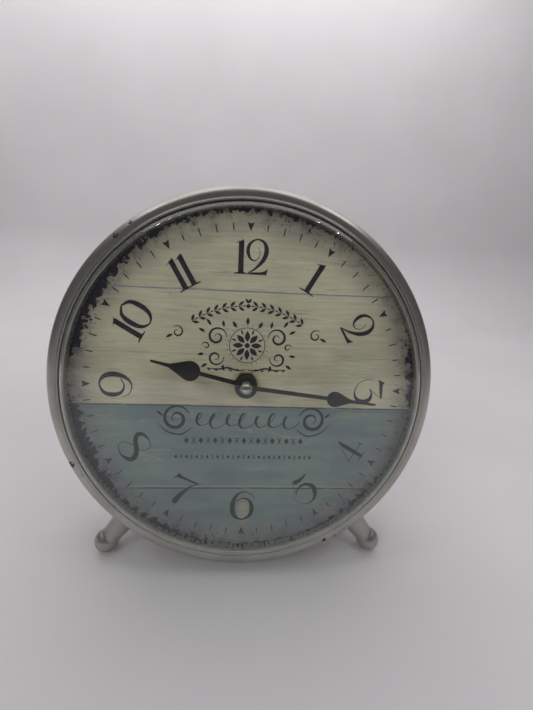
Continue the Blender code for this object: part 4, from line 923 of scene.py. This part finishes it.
def make_rules(ink):
    """Two rows of lozenges and beads, the lower one finer and longer."""
    for z, half_length, count, size in ((-24.4, 25.4, 17, 1.5), (-32.0, 30.0, 27, 0.95)):
        ink.at(0.0, z)
        for n in range(count):
            x = -half_length + 2 * half_length * n / (count - 1)
            if n % 2 == 0:
                ink.area([(x, size), (x + size * 0.72, 0.0), (x, -size), (x - size * 0.72, 0.0)])
            else:
                ink.dot(x, 0.0, size * 0.34)
                for side in (-1, 1):
                    ink.stroke([(x - size * 0.8, side * size * 0.85, 0.08), (x, side * size * 0.6, 0.16),
                                (x + size * 0.8, side * size * 0.85, 0.08)], 3)


def make_dial(looks):
    hole = BUSHING_RADIUS + 0.3
    disc = rounded([(hole, 0.0, 0.05), (DIAL_RADIUS, 0.0, 0.1), (DIAL_RADIUS, PAPER_THICKNESS, 0.1),
                    (hole, PAPER_THICKNESS, 0.05)], steps=2)
    paper = shape("printed_dial", lathe_between(disc), looks["dial"])
    add(paper, "case", "dial_paper", "dial_paper")
    make_figures(looks)
    make_marks(looks)
    ink = Ink()
    make_garland(ink)
    make_rosette(ink)
    make_flourish(ink)
    make_rules(ink)
    add(shape("dial_ornament", ink.mesh, looks["ink"]), "case", "dial_paper")


def lathe_between(outline):
    """A disc around the dial's middle whose hole is around the spindle."""
    made = lathe(outline, (0.0, 0.0), SEGMENTS)
    for vert in made.verts:
        radius = hypot(vert.co.x, vert.co.z)
        share = (radius - BUSHING_RADIUS) / (DIAL_RADIUS - BUSHING_RADIUS)
        vert.co.z += DIAL_CENTRE[1] * min(1.0, max(0.0, share))
    return made


# ---- Hands -----------------------------------------------------------------------------------------

def spade(length, hub, disc_at, disc, rod, tip):
    """Half of a spade hand's outline, from its tip to its tail, as (across, along) points."""
    points = [(tip * sin(radians(a)), length - tip + tip * cos(radians(a))) for a in range(0, 91, 18)]
    neck = disc_at + 2.05 * disc
    points += [(tip * 1.25, (length + neck) / 2), (tip * 1.7, neck)]
    for degrees in range(42, -76, -4):
        flare = 1.0 + 0.42 * max(0.0, sin(radians(degrees))) ** 1.5
        points.append((disc * cos(radians(degrees)), disc_at + flare * disc * sin(radians(degrees))))
    points.append((rod * 0.85, disc_at - sqrt(disc ** 2 - rod ** 2) * 1.02))
    leaves = atan2(rod, hub)
    for step in range(25):
        angle = leaves + (pi - leaves) * step / 24
        points.append((hub * sin(angle), hub * cos(angle)))
    return points


def make_hand(name, angle, height, half, bore, looks):
    outline = half[:-1] + [(0.0, half[-1][1])] + [(-across, along) for across, along in half[-2:0:-1]]
    turned = [(across * cos(angle) + along * sin(angle), along * cos(angle) - across * sin(angle))
              for across, along in outline]
    front = -height - HAND_THICKNESS / 2
    hand = shape(name, plate(turned, front, front + HAND_THICKNESS), looks["hand"])
    cut(hand, cylinder(bore, front - 1.0, front + 2.0))
    return soften(hand, 0.12)


def make_hands(looks):
    half = spade(40.2, hub=4.3, disc_at=23.8, disc=4.2, rod=1.0, tip=0.5)
    hour = make_hand("hour_hand_blade", HOUR_ANGLE, HOUR_HEIGHT, half, 2.8, looks)
    add(hour, "hour_motion", "black_hand", "hour_hand")
    half = spade(54.9, hub=4.65, disc_at=37.2, disc=3.3, rod=0.95, tip=0.45)
    minute = make_hand("minute_hand_blade", MINUTE_ANGLE, MINUTE_HEIGHT, half, 1.8, looks)
    add(minute, "minute_motion", "black_hand", "minute_hand")

    foot = -MINUTE_HEIGHT - HAND_THICKNESS / 2 - 0.3
    side = CAP_RADIUS * 1.08 - CAP_HEIGHT
    outline = arc((0.0, side), CAP_RADIUS, CAP_RADIUS * 1.08, 90, 0, 16)
    outline[0] = (0.0, -CAP_HEIGHT)
    outline += rounded([(CAP_RADIUS, side + 0.4, 0.1), (CAP_RADIUS - 0.18, side + 0.6, 0.1),
                        (CAP_RADIUS, side + 0.8, 0.1), (CAP_RADIUS, foot, 0.2), (1.8, foot, 0.1),
                        (1.8, foot - 2.8, 0.1)])
    outline.append((0.0, foot - 2.8))
    cap = shape("domed_cap_nut", lathe(outline), looks["steel"])
    add(cap, "minute_motion", "polished_steel", "cap_nut")

    flats = 9.0 / sqrt(3)
    hexagon = [on_circle(flats, 60.0 * corner) for corner in range(6)]
    nut = shape("brass_hex_nut", plate(hexagon, -2.1, -0.3), looks["brass"])
    cut(nut, cylinder(BUSHING_RADIUS + 0.3, -3.0, 1.0))
    chamfer = lathe([(4.55, -2.6), (9.0, -2.6), (9.0, -0.9), (5.35, -1.75)], (0.0, 0.0), 48)
    cut(nut, chamfer)
    soften(nut, 0.1)
    add(nut, "case", "brass", "centre_nut")


# ---- Movement as seen through the back window --------------------------------------------------------

def make_movement_back(looks):
    """The movement's rear cover, with ribs, a ring around the knob and an arrow for setting the hands."""
    front = MOVEMENT_BACK + 0.3
    back = front + MOVEMENT_COVER
    outline = rectangle(-MOVEMENT_HALF, MOVEMENT_HALF, BAY_TOP + 0.5, MOVEMENT_HALF, 3.0)
    cover = shape("movement_back", plate(outline, front, back), looks["black_plastic"])
    collar = lathe([(7.2, back - 0.4), (8.2, back - 0.4), (8.2, back + 0.9), (7.2, back + 0.9)], KNOB_AXIS)
    cut(cover, collar, "UNION")
    for x in (-21.0, -17.5, -14.0):
        cut(cover, plate(rectangle(x - 0.6, x + 0.6, -4.0, 20.0, 0.5, 4), back - 0.4, back + 0.6), "UNION")
    points = [on_circle(10.2, a, KNOB_AXIS) for a in range(30, 131, 10)]
    points += [on_circle(radius, a, KNOB_AXIS) for radius, a in ((9.0, 130), (10.9, 148), (12.9, 130))]
    points += [on_circle(11.7, a, KNOB_AXIS) for a in range(130, 29, -10)]
    cut(cover, plate(points, back - 0.4, back + 0.5), "UNION")
    soften(cover, 0.18)
    add(cover, "case", "black_plastic", "movement_cover")


def make_knob(looks):
    """A knurled knob with a hollow top and a bar across it to grip."""
    (x, z), back = KNOB_AXIS, KNOB_FRONT + KNOB_HEIGHT
    grips = 28
    outline = []
    for step in range(4 * grips):
        deep = 0.94 if step % 4 in (0, 1) else 1.0
        outline.append(on_circle(KNOB_RADIUS * deep, 90.0 * step / grips, KNOB_AXIS))
    knob = shape("hand_setting_knob", plate(outline, KNOB_FRONT, back), looks["white_plastic"])
    cut(knob, cylinder(4.6, back - 1.2, back + 1.0, KNOB_AXIS))
    bar = rectangle(x - 4.7, x + 4.7, z - 0.9, z + 0.9, 0.4, 3)
    cut(knob, plate(bar, back - 1.6, back - 0.1), "UNION")
    cut(knob, cylinder(0.8, KNOB_FRONT - 1.0, KNOB_FRONT + 2.2, KNOB_AXIS, 16))
    soften(knob, 0.12)
    add(knob, "minute_wheel_and_knob", "white_plastic", "set_knob")


def make_battery(looks):
    """A dry cell lying across the movement, positive end to the right seen from the front."""
    end, start, nub = BATTERY_LENGTH / 2 - 1.0, -BATTERY_LENGTH / 2, 2.7
    outline = rounded([(0.0, start + 0.2, 0.0), (4.6, start, 0.2), (BATTERY_RADIUS - 0.5, start, 0.2),
                       (BATTERY_RADIUS, start + 0.5, 0.4), (BATTERY_RADIUS, end - 0.9, 0.5),
                       (BATTERY_RADIUS - 0.8, end, 0.4), (nub + 0.5, end - 0.15, 0.3), (nub, end, 0.2),
                       (nub, end + 1.0, 0.4), (0.0, end + 1.0, 0.0)], closed=False)
    made = lathe(outline)
    depth, height = BATTERY_PLACE
    made.transform(Matrix.Translation((0.0, depth, height)) @ Matrix.Rotation(radians(-90.0), 4, "Z"))
    cell = shape("dry_cell", made, looks["battery"])
    add(cell, "battery_body", "battery_wrap", "battery")


def finish_cad_nodes(looks):
    """CAD pieces whose shape is right keep it and get a worked material."""
    finishes = {
        "hardboard": ("dial_plate",), "rubber": ("rubber_washer",), "steel": ("minute_arbor",),
        "black_plastic": ("movement_housing", "train_bridge"),
        "white_plastic": ("minute_wheel", "hour_wheel", "third_wheel", "second_wheel", "intermediate_wheel",
                          "rotor"),
        "brass": ("centre_wheel",), "coil": ("motor_coil",), "circuit": ("circuit_board",),
        "zinc": ("motor_stator", "quartz_crystal", "contact_positive", "contact_negative", "foot_nut_left",
                 "foot_nut_right"),
    }
    for finish, names in finishes.items():
        for name in names:
            for slot in frame["nodes"][name].material_slots:
                slot.material = looks[finish]


# ---- Stage -----------------------------------------------------------------------------------------

CAMERA_PLACE = Vector((-2.04, -160.2, 137.28)) * MM
CAMERA_TURN = (radians(76.394), radians(-2.692), radians(-3.543))
CAMERA_LENS = 17.33


def make_stage(looks):
    """A pale floor that sweeps up into a backdrop."""
    made = bmesh.new()
    half, front, back, bend, top = 3.0, -1.3, 0.75, 0.25, 2.2
    rise = [radians(a) for a in range(0, 91, 6)]
    line = [(front, 0.0)] + [(back + bend * sin(a), bend * (1 - cos(a))) for a in rise]
    line.append((back + bend, top))
    rows = [[made.verts.new((x, y, z)) for x in (-half, half)] for y, z in line]
    for first, second in zip(rows, rows[1:]):
        made.faces.new((first[0], first[1], second[1], second[0]))
    mesh = bpy.data.meshes.new("studio_sweep")
    made.to_mesh(mesh)
    made.free()
    mesh.materials.append(looks["floor"])
    mesh.shade_smooth()
    floor = bpy.data.objects.new("studio_sweep", mesh)
    bpy.context.scene.collection.objects.link(floor)


def add_light(name, place, aim, size, power, colour=(1.0, 1.0, 1.0), in_gloss=True):
    light = bpy.data.lights.new(name, "AREA")
    light.shape = "RECTANGLE"
    light.size, light.size_y = size
    light.energy = power
    light.color = colour
    item = bpy.data.objects.new(name, light)
    item.visible_glossy = item.visible_transmission = in_gloss
    item.location = place
    item.rotation_euler = (Vector(aim) - Vector(place)).to_track_quat("-Z", "Y").to_euler()
    bpy.context.scene.collection.objects.link(item)


def make_lights():
    world = bpy.data.worlds.new("studio")
    world.use_nodes = True
    background = world.node_tree.nodes["Background"]
    background.inputs["Color"].default_value = (0.80, 0.78, 0.80, 1.0)
    background.inputs["Strength"].default_value = 0.10
    bpy.context.scene.world = world
    add_light("overhead", (0.0, 0.3, 1.7), (0.0, 0.1, 0.1), (2.8, 1.5), 17.0, (1.0, 0.975, 0.99))
    add_light("front_left", (-0.9, -1.0, 0.9), (0.0, 0.0, 0.09), (0.7, 0.7), 5.6, in_gloss=False)
    add_light("front_right", (1.0, -0.9, 0.7), (0.0, 0.0, 0.09), (0.6, 0.6), 3.8, in_gloss=False)
    add_light("backdrop", (-0.3, 0.7, 1.15), (-0.3, 1.0, 0.8), (2.0, 0.2), 4.5, in_gloss=False)
    for side in (-1, 1):
        for n in (-1, 0, 1):
            place = (side * 0.95 + 0.13 * n, -0.45, 1.75 - 0.05 * side * n)
            add_light(f"lamp_{side}_{n}", place, (0.0, 0.0, 0.1), (0.05, 0.05), 0.5)


def make_camera():
    lens = bpy.data.cameras.new("camera")
    lens.lens = CAMERA_LENS
    lens.clip_start = 0.01
    camera = bpy.data.objects.new("camera", lens)
    camera.location = CAMERA_PLACE
    camera.rotation_euler = CAMERA_TURN
    bpy.context.scene.collection.objects.link(camera)
    bpy.context.scene.camera = camera


def main():
    bpy.context.scene.view_settings.view_transform = "Standard"
    looks = make_materials()
    make_bezel(looks)
    make_drum(looks)
    make_glass(looks)
    make_back(looks)
    make_feet(looks)
    make_dial(looks)
    make_hands(looks)
    make_movement_back(looks)
    make_knob(looks)
    make_battery(looks)
    finish_cad_nodes(looks)
    make_stage(looks)
    make_lights()
    make_camera()


main()
